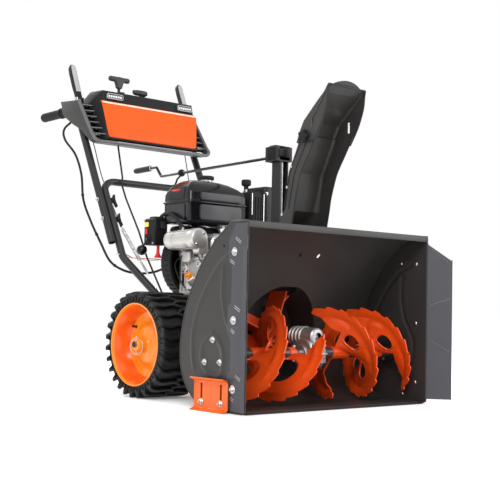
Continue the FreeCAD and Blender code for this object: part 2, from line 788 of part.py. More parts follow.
def tyres():
    """Open sided tyres: a carcass ring and two staggered rows of cross lugs."""
    mid = S.wheel_width / 2
    inner, outer = S.rim_radius + 2.2, S.wheel_radius - 12
    pieces = []
    for side in SIDES.values():
        centre = V(side * (S.wheel_inner + mid), S.wheel_y, S.wheel_radius)
        ring = Part.makeCylinder(outer, 2 * mid, V(-mid, 0, 0), V(1, 0, 0))
        ring = ring.cut(Part.makeCylinder(inner, 2 * mid + 2, V(-mid - 1, 0, 0), V(1, 0, 0)))
        lugs = []
        for row in (-1, 1):
            for index in range(TYRE_LUGS):
                low = V(-mid if row < 0 else -6, -8, outer - 3)
                lug = Part.makeBox(mid + 6, 16, S.wheel_radius - outer + 3, low)
                lug = turned(lug, (0, 0, outer), (0, 0, 1), row * 16)
                lug = turned(lug, (0, 0, 0), (1, 0, 0), (index + row / 4) * 360 / TYRE_LUGS)
                lugs.append(lug)
        keepers = Part.makeCylinder(S.wheel_radius, 2 * mid, V(-mid, 0, 0), V(1, 0, 0))
        tread = lugs[0].multiFuse(lugs[1:]).common(keepers)
        shape = ring.fuse(tread)
        shape.translate(centre)
        pieces.append(shape)
    keep(shaped("tyres", Part.makeCompound(pieces)))


# ---------------------------------------------------------------- chute


def gear_loop(teeth, module, turn):
    """Outline of a spur gear with straight flanked, well thinned teeth."""
    pitch = module * teeth / 2
    tip, root = pitch + 0.85 * module, pitch - 1.15 * module
    step = 2 * math.pi / teeth
    points = []
    for index in range(int(teeth)):
        middle = math.radians(turn) + index * step
        for radius, share in ((root, -0.26), (tip, -0.11), (tip, 0.11), (root, 0.26)):
            angle = middle + share * step
            points.append((radius * math.cos(angle), radius * math.sin(angle)))
    return points


def chute_ring():
    """Toothed ring that turns on the collar, with a lip that the chute is bolted to."""
    lean = 83.0
    loop = [(S.chute_x + u, S.chute_y + v) for u, v in gear_loop(S.ring_teeth, S.gear_module, lean)]
    body = new_body("chute_ring")
    hole = ("circle", S.chute_x, S.chute_y, S.chute_half - 1)
    add_pad(body, "XY", S.collar_z + 0.4, 8, loop, hole)
    rim = ("circle", S.chute_x, S.chute_y, S.chute_half + 2)
    add_pad(body, "XY", S.collar_z + 8.4, 17, rim, hole)
    keep(body)


def pinion():
    """Pinion on the long upright shaft up to the gear head."""
    x, y = pinion_place()
    half_step = 180.0 / S.pinion_teeth
    loop = [(x + u, y + v) for u, v in gear_loop(S.pinion_teeth, S.gear_module, 263 + half_step)]
    body = new_body("chute_pinion")
    add_pad(body, "XY", S.collar_z + 0.6, 9, loop)
    add_pad(body, "XY", S.collar_z + 9.6, 270, ("circle", x, y, 6))
    keep(body)


# Height, front edge, back edge and corner radius of the chute's channel.
CHUTE_SECTIONS = [(507.4, 166, 276, 70), (536, 161, 250, 44), (575, 153, 209, 22), (622, 144, 199, 14),
                  (687, 122, 187, 12), (739, 90, 161, 12), (779, 65, 142, 12), (792, 57, 137, 12)]
HOOD_SECTIONS = [(768, 71, 153, 12), (800, 50, 140, 12), (830, 34, 124, 12), (872, 19, 78, 11),
                 (905, 15, 37, 8), (924, 12, 19, 2)]


def channel_loop(front, back, corner, half, inset):
    """A U opening forward, its rounds drawn with short chords; `inset` moves the walls inward."""
    reach = half - inset
    back, corner = back - inset, max(corner - inset, 0.6)
    corner = min(corner, back - front - 1.2, reach - 0.5)
    arc = []
    for step in range(7):
        angle = math.radians(15 * step)
        arc.append((reach - corner + corner * math.cos(angle),
                    back - corner + corner * math.sin(angle)))
    right = [(S.chute_x + u, v) for u, v in arc]
    left = [(S.chute_x - u, v) for u, v in reversed(arc)]
    return [(S.chute_x - reach, front), (S.chute_x + reach, front)] + right + left


def channel_shape(sections, half, thick):
    """A lofted sheet channel: an outer form with an inner form, open in front, taken out."""
    outer = [(z, channel_loop(front, back, corner, half, 0)) for z, front, back, corner in sections]
    inner = []
    for z, front, back, corner in sections:
        inner.append((z, channel_loop(front - 12, back, corner, half, thick)))
    core = loft_shape(inner)
    ends = []
    for z, front, back, corner in (sections[0], sections[-1]):
        loop = channel_loop(front - 12, back, corner, half, thick)
        edges = [piece.toShape() for piece in outline_geometry(loop)]
        face = Part.Face(Part.Wire(Part.__sortEdges__(edges)))
        face.translate(V(0, 0, z - 0.5))
        ends.append(face.extrude(V(0, 0, 1)))
    return loft_shape(outer).cut([core] + ends)


def chute_lower():
    shape = channel_shape(CHUTE_SECTIONS, S.chute_half, S.sheet_thick)
    keep(shaped("chute_lower", shape))


HOOD_GAP = 1.0


def chute_hood():
    """Tilting deflector that wraps round the top of the chute."""
    half = S.chute_half + HOOD_GAP + S.sheet_thick
    shape = channel_shape(HOOD_SECTIONS, half, S.sheet_thick)
    for side in SIDES.values():
        hole = Part.makeCylinder(5, 20, V(S.chute_x + side * (half - 12), S.hood_y, S.hood_z),
                                 V(side, 0, 0))
        slot = box_shape((S.chute_x + side * half - 10, 74, 806), (S.chute_x + side * half + 10, 83, 838))
        shape = shape.cut([hole, slot])
    # The mouth's top edge ends in an arched lip.
    reach, rise, along, across = 66.0, 24.0, V(0, -0.5, 0.866), V(0, 0.866, 0.5)
    foot = V(S.chute_x, 19.5, 919)
    ends = [foot + V(side * reach, 0, 0) for side in (-1, 1)]
    arch = Part.Arc(ends[0], foot + along * rise, ends[1]).toShape()
    chord = Part.LineSegment(ends[1], ends[0]).toShape()
    lip = Part.Face(Part.Wire([arch, chord])).extrude(across * S.sheet_thick)
    keep(shaped("chute_hood", shape.fuse(lip)))


def hood_knobs():
    """Clamping knobs and their pivot bolts, one each side of the hood's hinge."""
    solids = []
    for side in SIDES.values():
        face = S.chute_x + side * (S.chute_half + HOOD_GAP + S.sheet_thick)
        pin = Part.makeCylinder(4.8, 9, V(face - side * 3.4, S.hood_y, S.hood_z), V(side, 0, 0))
        disc = Part.makeCylinder(11, 8, V(face + side * 0.6, S.hood_y, S.hood_z), V(side, 0, 0))
        arm = box_shape((-4, -4, -22), (4, 4, 22))
        arm = turned(arm, (0, 0, 0), (1, 0, 0), 35)
        arm.translate(V(face + side * 12, S.hood_y, S.hood_z))
        solids.append(pin.fuse([disc, arm]))
    keep(shaped("hood_knobs", Part.makeCompound(solids)))


def gear_post():
    """Bent channel that carries the gear head above the pinion."""
    x, y = pinion_place()
    z0 = S.collar_z
    back = box_shape((x - 17, y + 20.5, z0), (x + 17, y + 24.5, 742))
    cheeks = []
    for side in (-1, 1):
        low = x + side * 17 - (4 if side > 0 else 0)
        cheeks.append(box_shape((low, y - 14, z0 + 50), (low + 4, y + 24.5, 742)))
    shelf = box_shape((x - 17, y - 14, z0 + 50), (x + 17, y + 24.5, z0 + 54))
    head = box_shape((x - 30, y - 16, 736), (x + 30, y + 42, 782))
    disc = Part.makeCylinder(29, 16, V(x, y - 2, 752), UP)
    shape = back.fuse(cheeks + [shelf, head, disc])
    room = Part.makeCylinder(6 + S.running_gap, 300, V(x, y, z0 + 40), UP)
    along = (CRANK_EYE - CRANK_START).normalize()
    socket = Part.makeCylinder(S.crank_radius + S.running_gap, 60, CRANK_START - along, along)
    keep(shaped("gear_post", shape.cut([room, socket])))


CRANK_START = V(9.3, 325.0, 750.5)
CRANK_EYE = V(97.3, 930.0, 762.4)


def crank_points():
    """The rod's straight line, then its dogleg and the stub that the grip turns on."""
    along = (CRANK_EYE - CRANK_START).normalize()
    lift = V(0, 0, 38)
    bend = CRANK_START + along * 773
    knee = CRANK_START + along * 815 + lift
    tip = CRANK_START + along * 996 + lift
    return along, bend, knee, tip


def crank_rod():
    along, bend, knee, tip = crank_points()
    shape = tube_shape([CRANK_START, bend, knee, tip], 12.0, S.crank_radius)
    keep(shaped("crank_rod", shape))


def crank_grip():
    along, bend, knee, tip = crank_points()
    start = knee + along * 50
    length = 130.0
    grip = Part.makeCylinder(11, length, start, along)
    bore = Part.makeCylinder(S.crank_radius + S.running_gap, length + 20, start - along * 10, along)
    keep(shaped("crank_grip", grip.cut(bore)))


def rod_guide():
    """Eye on a short stem that holds the rod above the crossbar."""
    along = (CRANK_EYE - CRANK_START).normalize()
    eye = Part.makeCylinder(11, 12, CRANK_EYE - along * 6, along)
    stem = rod_shape((CRANK_EYE.x, CRANK_EYE.y + 2, CRANK_EYE.z - 8),
                     (CRANK_EYE.x, CROSSBAR_Y - 2, CROSSBAR_Z + 6), 3.5)
    stem = stem.cut(Part.makeCylinder(S.tube_radius, 200, V(0, CROSSBAR_Y, CROSSBAR_Z), V(1, 0, 0)))
    bore = Part.makeCylinder(S.crank_radius + S.running_gap, 40, CRANK_EYE - along * 20, along)
    keep(shaped("rod_guide", eye.fuse(stem).cut(bore)))


# ---------------------------------------------------------------- handles and controls

CROSSBAR_Y = 971.0
CROSSBAR_Z = 708.0
HANDLE_SLOPE = 0.531


def handle_line(height):
    """y of the handle tubes at a height, along their straight upper run."""
    return 900 + (height - 575) * HANDLE_SLOPE


def lower_handle():
    """U shaped tube: both legs bend inward to the case, and the crossbar joins them."""
    half = S.lower_half
    foot = S.frame_half + S.tube_radius
    points = []
    for side in (-1, 1):
        leg = [(side * foot, 590, 232), (side * foot, 690, 298), (side * half, 829, 441),
               (side * half, CROSSBAR_Y, CROSSBAR_Z)]
        points += leg if side < 0 else leg[::-1]
    bends = [60, 60, 45, 45, 60, 60]
    radius = S.tube_radius
    shape = tube_shape(points, bends, radius, radius - S.tube_wall)
    keep(shaped("lower_handle", shape))


def upper_handles():
    solids = []
    for side in SIDES.values():
        x = side * S.upper_half
        top = handle_line(S.grip_z)
        points = [(x, handle_line(489), 489), (x, top, S.grip_z), (x, S.grip_end - 4, S.grip_z)]
        solids.append(tube_shape(points, 70, S.tube_radius, S.tube_radius - S.tube_wall))
    keep(shaped("upper_handles", Part.makeCompound(solids)))


GRIP_LENGTH = 138.0


def handle_grips():
    solids = []
    for side in SIDES.values():
        at = V(side * S.upper_half, S.grip_end - GRIP_LENGTH, S.grip_z)
        grip = Part.makeCylinder(16.5, GRIP_LENGTH, at, V(0, 1, 0))
        collar = Part.makeCylinder(19.5, 7, at, V(0, 1, 0))
        bore = Part.makeCylinder(S.tube_radius, GRIP_LENGTH - 4, at, V(0, 1, 0))
        solids.append(grip.fuse(collar).cut(bore))
    keep(shaped("handle_grips", Part.makeCompound(solids)))


CLAMP_HEIGHTS = (638.0, 571.0)


def handle_knobs():
    """Wing knobs inside and bolt heads outside, where the upper tubes meet the lower legs."""
    solids = []
    for side in SIDES.values():
        for height in CLAMP_HEIGHTS:
            y = handle_line(height)
            inside = side * (S.lower_half - S.tube_radius)
            outside = side * (S.upper_half + S.tube_radius)
            hub = Part.makeCylinder(9, 14, V(inside, y, height), V(-side, 0, 0))
            wing = box_shape((-4, -5, -24), (4, 5, 24))
            wing = turned(wing, (0, 0, 0), (1, 0, 0), -28)
            wing.translate(V(inside - side * 16, y, height))
            solids.append(hub.fuse(wing))
            solids.append(bolt_shape((outside, y, height), (side, 0, 0), 5.5))
    keep(shaped("handle_knobs", Part.makeCompound(solids)))


def polygon_prism(points, axis, length):
    """A prism from a closed polygon of 3-D points."""
    points = [V(*point) for point in points]
    return Part.Face(Part.makePolygon(points + points[:1])).extrude(V(*axis) * length)


def section_loft(sections):
    """A ruled solid through polygons of (y, z), each at its own x."""
    wires = []
    for x, loop in sections:
        points = [V(x, y, z) for y, z in loop]
        wires.append(Part.makePolygon(points + points[:1]))
    return Part.makeLoft(wires, True, True)


CONSOLE_MIDDLE = [(966, 852), (1006, 1033), (1096, 1040), (1096, 930), (1012, 852)]
CONSOLE_END = [(978, 854), (1076, 996), (1140, 1001), (1120, 940), (1016, 854)]


def console_shell():
    """Moulded housing, with a row of vent slots at each end."""
    shape = section_loft([(-219, CONSOLE_END), (-195, CONSOLE_MIDDLE), (195, CONSOLE_MIDDLE),
                          (219, CONSOLE_END)])
    inner = [(y + dy, z + dz) for (y, z), (dy, dz) in
             zip(CONSOLE_MIDDLE, [(5, 4), (5, -4), (-4, -4), (-4, 2), (-2, 4)])]
    core = section_loft([(-190, inner), (190, inner)])
    mouth = box_shape((-150, 1040, 840), (150, 1105, 940))
    lever_slots = [box_shape((SHIFT_X - 8, 1021, 1020), (SHIFT_X + 8, 1071, 1050)),
                   box_shape((TILT_X - 6, 1021, 1020), (TILT_X + 6, 1056, 1050))]
    shape = shape.cut([core, mouth] + lever_slots)
    slats = []
    for side in (-1, 1):
        for index in range(6):
            z = 872 + 22 * index
            y = 966 + (z - 846) * 0.735
            low = min(side * 219, side * 250.5)
            slats.append(box_shape((low, y + 2, z), (low + 31.5, y + 18, z + 5)))
    shape = shape.multiFuse(slats)
    keep(shaped("console_shell", shape))


BEZEL_SIDE = [(966, 846), (1079, 999), (1202, 1010), (1171, 948), (1104, 913), (1046, 886), (993, 838)]


def console_bezel():
    """Strap that wraps round the bottom and both ends of the console."""
    outer, inner = 254.0, 250.5
    shape = None
    for side in (-1, 1):
        x = min(side * outer, side * inner)
        cheek = polygon_prism([(x, y, z) for y, z in BEZEL_SIDE], (1, 0, 0), outer - inner)
        shape = cheek if shape is None else shape.fuse(cheek)
    bottom = polygon_prism([(-outer, 966, 846), (-outer, 994, 846), (-outer, 990, 838),
                            (-outer, 970, 838)], (1, 0, 0), 2 * outer)
    rail = polygon_prism([(-outer, 964, 844), (-outer, 1000, 844), (-outer, 1000, 848),
                          (-outer, 964, 848)], (1, 0, 0), 2 * outer)
    keep(shaped("console_bezel", shape.fuse([bottom, rail])))


PANEL_LEAN = 0.2088


def console_panel():
    """Coloured front panel, wider at its top, set on the sloping face."""
    thick = 4.0

    def face_y(z):
        return 966 + (z - 852) * (1006 - 966) / (1033 - 852)

    points = []
    for x, z in ((-189, 866), (189, 866), (205, 983), (-205, 983)):
        points.append((x, face_y(z) - thick, z))
    keep(shaped("console_panel", polygon_prism(points, (0, 1, 0), thick - 0.02)))


def headlights():
    solids = []
    for side in (-1, 1):
        low = (side * 152 - 32, 0, 1003)
        lamp = Part.makeBox(64, 7, 19, V(*low))
        lamp = lamp.makeFillet(6, [edge for edge in lamp.Edges if abs(edge.tangentAt(0).y) > 0.9])
        y = 966 + (1012 - 852) * (1006 - 966) / (1033 - 852)
        lamp.translate(V(0, y - 9.6, 0))
        solids.append(lamp)
    keep(shaped("headlights", Part.makeCompound(solids)))


LEVER_PIVOT = (1096.0, 1003.0)
LEVER_LEAN = 65.0


def levers():
    """Squeeze levers, standing up from their pivots over the grips."""
    y, z = LEVER_PIVOT
    for name, side in SIDES.items():
        x = side * S.upper_half
        boss = Part.makeCylinder(11, 23, V(x - 11.5, y, z), V(1, 0, 0))
        paddle = box_shape((x - 11.5, y - 4, z), (x + 11.5, y + 4, z + S.lever_length))
        ends = [edge for edge in paddle.Edges
                if abs(edge.tangentAt(0).y) > 0.9 and edge.CenterOfMass.z > z + 50]
        paddle = paddle.makeFillet(10, ends)
        paddle = turned(paddle, (x, y, z), (1, 0, 0), LEVER_LEAN - 90)
        shape = boss.fuse(paddle)
        shape = shape.cut(Part.makeCylinder(4 + S.running_gap, 60, V(x - 30, y, z), V(1, 0, 0)))
        keep(shaped("lever_" + name, shape))


def lever_pivots():
    """Saddle and pin of each squeeze lever, and the cross pin of the two selectors."""
    y, z = LEVER_PIVOT
    solids = []
    for side in SIDES.values():
        x = side * S.upper_half
        pin = Part.makeCylinder(4, 28.4, V(x - 14.2, y, z), V(1, 0, 0))
        cheeks = []
        for low in (x - 14.2, x + 12):
            cheeks.append(box_shape((low, y - 9, z - 30), (low + 2.2, y + 9, z + 9)))
        shape = pin.fuse(cheeks)
        tube = tube_shape([(x, handle_line(489), 489), (x, handle_line(S.grip_z), S.grip_z),
                           (x, S.grip_end, S.grip_z)], 70, S.tube_radius)
        solids += shape.cut(tube).Solids
    py, pz = SHIFT_PIVOT
    solids.append(Part.makeCylinder(4, 380, V(-190, py, pz), V(1, 0, 0)))
    keep(shaped("lever_pivots", Part.makeCompound(solids)))


SHIFT_X = -105.0
SHIFT_PIVOT = (1046.0, 985.0)


def shift_lever():
    """Speed selector with a T grip, pivoted inside the console."""
    y, z = SHIFT_PIVOT
    pivot = Part.makeCylinder(9, 10, V(SHIFT_X - 5, y, z), V(1, 0, 0))
    stem = box_shape((SHIFT_X - 2.5, y - 6, z), (SHIFT_X + 2.5, y + 6, 1062))
    neck = Part.makeCone(9, 13, 26, V(SHIFT_X, y, 1056), UP)
    grip = Part.makeCylinder(9.5, 86, V(SHIFT_X - 43, y, 1090), V(1, 0, 0))
    shape = pivot.fuse([stem, neck, grip])
    shape = shape.cut(Part.makeCylinder(4 + S.running_gap, 40, V(SHIFT_X - 20, y, z), V(1, 0, 0)))
    keep(shaped("shift_lever", shape))


TILT_X = -14.0


def tilt_lever():
    """Flat knob that bends the hood through its cable."""
    y, z = SHIFT_PIVOT
    pivot = Part.makeCylinder(8, 8, V(TILT_X - 4, y, z), V(1, 0, 0))
    stem = box_shape((TILT_X - 2, y - 5, z), (TILT_X + 2, y + 5, 1050))
    knob = box_shape((TILT_X - 33, y - 14, 1046), (TILT_X + 33, y + 14, 1062))
    knob = knob.makeFillet(6, knob.Edges)
    shape = pivot.fuse([stem, knob])
    shape = shape.cut(Part.makeCylinder(4 + S.running_gap, 40, V(TILT_X - 20, y, z), V(1, 0, 0)))
    keep(shaped("tilt_lever", shape))


def shift_rod():
    """Jogged rod from the selector down to the transmission, with its clevis."""
    points = [(-126, 1010, 850.4), (-140, 952, 726), (-141, 949, 692), (-120, 956, 652),
              (-166, 800, 526), (-140, 790, 445), (-96, 715, 270)]
    rod = tube_shape(points, [10, 8, 8, 12, 30], 3.2)
    keep(shaped("shift_rod", rod))


def control_cables():
    """Sheathed cables from the levers, each ending in its return spring and link."""
    solids = []
    for side in SIDES.values():
        points = [(side * 205, 1078, 904), (side * 198, 1048, 836), (side * 190, 1003, 720),
                  (side * 178, 925, 590), (side * 170, 905, 548)]
        cable = tube_shape(points, 40, 1.6)
        spring = rod_shape((side * 170, 905, 548), (side * 150, 810, 428), 7)
        link = rod_shape((side * 150, 810, 428), (side * 118, 716, 296), 2)
        solids.append(cable.fuse([spring, link]))
    keep(shaped("control_cables", Part.makeCompound(solids)))


def wire_harness():
    """Lead from the console's lamps and switches down the right hand tube to the engine."""
    points = [(-242, 1120, 935), (-262, 1160, 900), (-266, 1130, 860), (-264, 1060, 800),
              (-258, 1030, 730), (-262, 1010, 640), (-258, 960, 560), (-254, 900, 490),
              (-236, 862, 425), (-200, 842, 398), (-150, 828, 388), (-100, 806, 395),
              (-82, 750, 410), (-82, 720, 410)]
    radii = [20, 20, 40, 40, 60, 60, 40, 30, 30, 20, 20, 12]
    keep(shaped("wire_harness", tube_shape(points, radii, 4.0)))


# ---------------------------------------------------------------- engine


def crankcase():
    """Cast block with a foot, a front cover boss and a sloping oil filler."""
    x, z = S.engine_x, S.engine_z
    body = box_shape((x - 82, 476, 312), (x + 88, 640, 512))
    body = body.makeFillet(16, [edge for edge in body.Edges if abs(edge.tangentAt(0).y) > 0.9])
    foot = box_shape((x - 92, 490, S.frame_top), (x + 98, 638, 314))
    boss = Part.makeCylinder(56, 10, V(x, 468, z), V(0, 1, 0))
    filler = rod_shape((x - 80, 556, 352), (x - 104, 556, 376), 13)
    shape = body.fuse([foot, boss, filler])
    bore = Part.makeCylinder(12.5 + S.running_gap, 90, V(x, 460, z), V(0, 1, 0))
    oil = rod_shape((x - 88, 556, 360), (x - 108, 556, 380), 7 + S.running_gap)
    keep(shaped("crankcase", shape.cut([bore, oil])))


def cylinder_head():
    """Finned barrel and rocker cover on the left hand side."""
    x = S.engine_x + 88
    barrel = box_shape((x, 520, 396), (x + 96, 628, 500))
    grooves = []
    for index in range(6):
        low = x + 10 + 14 * index
        slot = box_shape((low, 512, 388), (low + 7, 636, 508))
        core = box_shape((low - 1, 534, 410), (low + 8, 614, 486))
        grooves.append(slot.cut(core))
    cover = box_shape((x + 96, 534, 408), (x + 122, 614, 488))
    cover = cover.makeFillet(8, cover.Edges)
    keep(shaped("cylinder_head", barrel.cut(grooves).fuse(cover)))


def fan_housing():
    """Blower shroud and recoil starter cover at the back of the engine."""
    x, z = S.engine_x, S.engine_z
    drum = Part.makeCylinder(122, 62, V(x, 640, z), V(0, 1, 0))
    drum = drum.makeFillet(14, [drum.Edges[0] if drum.Edges[0].CenterOfMass.y > 690 else drum.Edges[2]])
    crown = box_shape((x - 88, 640, z), (x + 80, 694, 545))
    cover = Part.makeCylinder(88, 20, V(x, 700, z), V(0, 1, 0))
    room = Part.makeCylinder(112, 52, V(x, 641, z), V(0, 1, 0))
    shape = drum.fuse([crown, cover]).cut(room)
    shape = shape.fuse(box_shape((x - 70, 640, 326), (x + 70, 642, 330)))
    keep(shaped("fan_housing", max(shape.Solids, key=lambda item: item.Volume)))


def fuel_tank():
    """Moulded tank with a seam flange, sloping shoulders and a filler neck."""
    low = [(-145, 548, 24), (95, 548, 30), (95, 696, 30), (-145, 696, 24)]
    body = new_body("fuel_tank")
    add_pad(body, "XY", 548, 104, low)
    flange = [(-149, 544, 26), (99, 544, 32), (99, 700, 32), (-149, 700, 26)]
    add_pad(body, "XY", 614, 5, flange)
    shoulder = [(-122, 568, 20), (32, 568, 26), (32, 666, 26), (-122, 666, 20)]
    add_pad(body, "XY", 652, 38, shoulder)
    add_pad(body, "XY", 690, 8, ("circle", -28, 618, 19))
    add_pocket(body, "XY", 652, 50, ("circle", -28, 618, 14))
    keep(body)


def fuel_cap():
    body = new_body("fuel_cap")
    add_pad(body, "XY", 698.3, 14, ("circle", -28, 618, 26))
    add_pad(body, "XY", 690, 8.3, ("circle", -28, 618, 13.7))
    keep(body)


def starter_motor():
    """Electric starter along the right hand side of the block."""
    x, z = -152.0, 493.0
    motor = Part.makeCylinder(30, 150, V(x, 486, z), V(0, 1, 0))
    nose = Part.makeCylinder(32, 12, V(x, 478, z), V(0, 1, 0))
    bracket = box_shape((x, 606, 462), (S.engine_x - 82, 640, 510))
    keep(shaped("starter_motor", motor.fuse([nose, bracket])))


def control_box():
    """Switch box beside the recoil cover."""
    body = box_shape((-172, 702, 480), (-118, 764, 568))
    body = body.makeFillet(5, body.Edges)
    pin = Part.makeCylinder(4, 8, V(-180, 735, 500), V(1, 0, 0))
    recess = box_shape((-174, 739, 515), (-166, 753, 535))
    well = Part.makeCylinder(5.1 + S.running_gap, 30, V(-146, 716, 470), UP)
    keep(shaped("control_box", body.cut([recess, well]).fuse(pin)))


def stop_switch():
    body = box_shape((-177, 739.4, 515.4), (-170.4, 752.6, 534.6))
    keep(shaped("stop_switch", body.makeFillet(2, body.Edges)))


def choke_pull():
    """Push-pull knob hanging under the switch box."""
    stem = Part.makeCylinder(5.1, 40, V(-146, 716, 458), UP)
    bell = Part.makeCone(12, 5, 26, V(-146, 716, 438), UP)
    keep(shaped("choke_pull", stem.fuse(bell)))


def throttle_lever():
    """Ball ended lever on the side of the switch box."""
    bore = Part.makeCylinder(4 + S.running_gap, 12, V(-183, 735, 500), V(1, 0, 0))
    eye = Part.makeCylinder(8, 5, V(-179.5, 735, 500), V(1, 0, 0))
    arm = rod_shape((-178, 737.4, 494), (-190, 742, 472), 3)
    flat, wide = 5.0, 17.5
    half = math.sqrt(wide * wide - flat * flat)
    edges = [Part.Arc(V(flat, 0, -half), V(wide, 0, 0), V(flat, 0, half)).toShape(),
             Part.LineSegment(V(flat, 0, half), V(0, 0, half)).toShape(),
             Part.LineSegment(V(0, 0, half), V(0, 0, -half)).toShape(),
             Part.LineSegment(V(0, 0, -half), V(flat, 0, -half)).toShape()]
    ball = Part.Face(Part.Wire(edges)).revolve(V(0, 0, 0), UP, 360)
    ball.translate(V(-192, 742, 463))
    shape = ball.fuse([arm, eye]).cut(bore)
    keep(shaped("throttle_lever", shape))


def oil_cap():
    x = S.engine_x
    along = V(-1, 0, 1).normalize()
    at = V(x - 104, 556, 376) + along * 0.3
    cap = Part.makeCylinder(15, 12, at, along)
    stem = Part.makeCylinder(6.7, 14, at, along * -1)
    keep(shaped("oil_cap", cap.fuse(stem)))


def recoil_handle():
    """T grip of the pull start, parked against the recoil cover."""
    x, z = 30.0, 486.0
    grip = Part.makeCylinder(10, 84, V(x - 42, 740, z), V(1, 0, 0))
    neck = Part.makeCone(6, 9, 12, V(x, 722, z), V(0, 1, 0))
    keep(shaped("recoil_handle", grip.fuse(neck)))


def carb_cover():
    """Winter shroud over the carburettor."""
    body = box_shape((102, 540, 508), (157, 684, 668))
    body = body.makeFillet(10, [edge for edge in body.Edges if edge.CenterOfMass.z > 600])
    inner = box_shape((106, 544, 500), (153, 680, 660))
    foot = box_shape((102, 560, 500), (144, 600, 512))
    keep(shaped("carb_cover", body.fuse(foot).cut(inner)))


def muffler():
    """Silencer drum behind its guard."""
    body = box_shape((160, 540, 510), (216, 664, 690))
    body = body.makeFillet(14, [edge for edge in body.Edges if edge.CenterOfMass.z > 600])
    pipe = Part.makeCylinder(13, 40, V(216, 602, 560), V(1, 0, 0))
    mount = box_shape((161, 560, 504), (174, 600, 512))
    lug = box_shape((146, 560, 500), (174, 600, 507))
    keep(shaped("muffler", body.fuse([pipe, mount, lug])))


def belt_cover():
    """Cover over the belts, between the drum and the engine."""
    loop = [(-112, 298, 4), (112, 298, 4), (112, 330, 20), (66, 500, 30), (-104, 500, 30)]
    inner = [(-108, 290), (108, 290), (108, 330), (62, 474), (-100, 474)]
    body = new_body("belt_cover")
    add_pad(body, "XZ", 392, 75, loop)
    add_pocket(body, "XZ", 395, 80, inner)
    keep(body)


# ---------------------------------------------------------------- build, check, export

BUILDERS = [
    housing_barrel, side_plates, scraper_bar, skid_shoes, wings, housing_bolts, impeller_housing,
    auger_gearbox, bearings, auger_shaft, auger_flights, impeller, impeller_shaft, pulleys,
    drive_belt, frame_case, drive_axle, rims, tyres, chute_ring, pinion, chute_lower,
    chute_hood, hood_knobs, gear_post, crank_rod, crank_grip, rod_guide, lower_handle,
    upper_handles, handle_grips, handle_knobs, console_shell, console_bezel, console_panel,
    headlights, levers, lever_pivots, shift_lever, tilt_lever, shift_rod,
    control_cables, wire_harness, crankcase, cylinder_head, fan_housing, fuel_tank,
    fuel_cap, starter_motor, control_box, stop_switch, choke_pull, throttle_lever, oil_cap,
    recoil_handle, carb_cover, muffler, belt_cover,
]


def finish():
    doc.recompute()
    shift = FreeCAD.Placement(V(0, -S.middle_y, 0), FreeCAD.Rotation())
    for obj in [doc.getObject(name) for name in LABELS]:
        obj.Placement = shift * obj.Placement
    doc.recompute()
    for obj in doc.Objects:
        if "Invalid" in obj.State or "Error" in obj.State:
            raise RuntimeError("%s: %s" % (obj.Name, obj.State))
    os.makedirs("parts", exist_ok=True)
    for obj in [doc.getObject(name) for name in LABELS]:
        if obj.Shape.isNull() or not obj.Shape.isValid():
            raise RuntimeError("%s has no valid shape" % obj.Label)
        obj.Shape.exportStep("parts/%s.step" % obj.Label)


for build in BUILDERS:
    build()
finish()
print(len(LABELS), "parts written")
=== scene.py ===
import json
from math import atan2, cos, degrees, exp, hypot, pi, radians, sin, sqrt, tan

import bmesh
import bpy
from mathutils import Matrix, Vector


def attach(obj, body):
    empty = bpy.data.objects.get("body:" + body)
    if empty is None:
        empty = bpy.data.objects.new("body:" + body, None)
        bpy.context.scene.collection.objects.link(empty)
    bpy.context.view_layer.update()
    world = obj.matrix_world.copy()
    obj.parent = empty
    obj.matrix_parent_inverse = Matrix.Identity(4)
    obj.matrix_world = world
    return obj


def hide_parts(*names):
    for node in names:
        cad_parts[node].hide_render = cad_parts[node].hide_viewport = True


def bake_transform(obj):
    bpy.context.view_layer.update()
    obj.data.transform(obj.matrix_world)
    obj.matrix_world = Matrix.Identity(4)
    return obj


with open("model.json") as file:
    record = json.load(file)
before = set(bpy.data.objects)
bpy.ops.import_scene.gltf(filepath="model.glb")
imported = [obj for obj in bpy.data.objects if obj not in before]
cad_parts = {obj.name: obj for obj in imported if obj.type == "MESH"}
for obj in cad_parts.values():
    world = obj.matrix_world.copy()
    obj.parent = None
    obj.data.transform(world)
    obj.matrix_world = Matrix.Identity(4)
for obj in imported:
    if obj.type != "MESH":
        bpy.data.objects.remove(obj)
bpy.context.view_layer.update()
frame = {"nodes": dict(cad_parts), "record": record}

MIDDLE = 0.646   # metres from the intake's front edge back to the origin of the frame
SCENE = bpy.context.scene
X, Y, Z = (1, 0, 0), (0, 1, 0), (0, 0, 1)
SIDES = ((-1, "right"), (1, "left"))

# Which ends of a turned or swept mesh are closed.
NEITHER, FIRST, LAST, BOTH = (False, False), (True, False), (False, True), (True, True)

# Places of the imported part, in millimetres.
WHEEL_X, HANDLE_X, CHUTE_X = 247, 236, 15
AUGER_Y, AUGER_Z = 140.0, 152.0
WHEEL_Y, WHEEL_Z = 563.6, 162.4
ENGINE_X, ENGINE_Z = -30.0, 425.0
SELECTOR_Y, SELECTOR_Z = 1046.0, 985.0
SHIFT_X, TILT_X = -105, -14
PLATE_MIDDLE = (100, 235)
DRUM_MIDDLE = (0, 200)


def at(x, y, z):
    """A point given in millimetres from the intake's front edge, in the row frame."""
    return Vector((x / 1000, y / 1000 - MIDDLE, z / 1000))


# ------------------------------------------------------------------ camera, light, floor

FOCAL_PIXELS, PHOTO_PIXELS, SENSOR = 1032.54, 500, 36
WHITE = (1, 1, 1, 1)


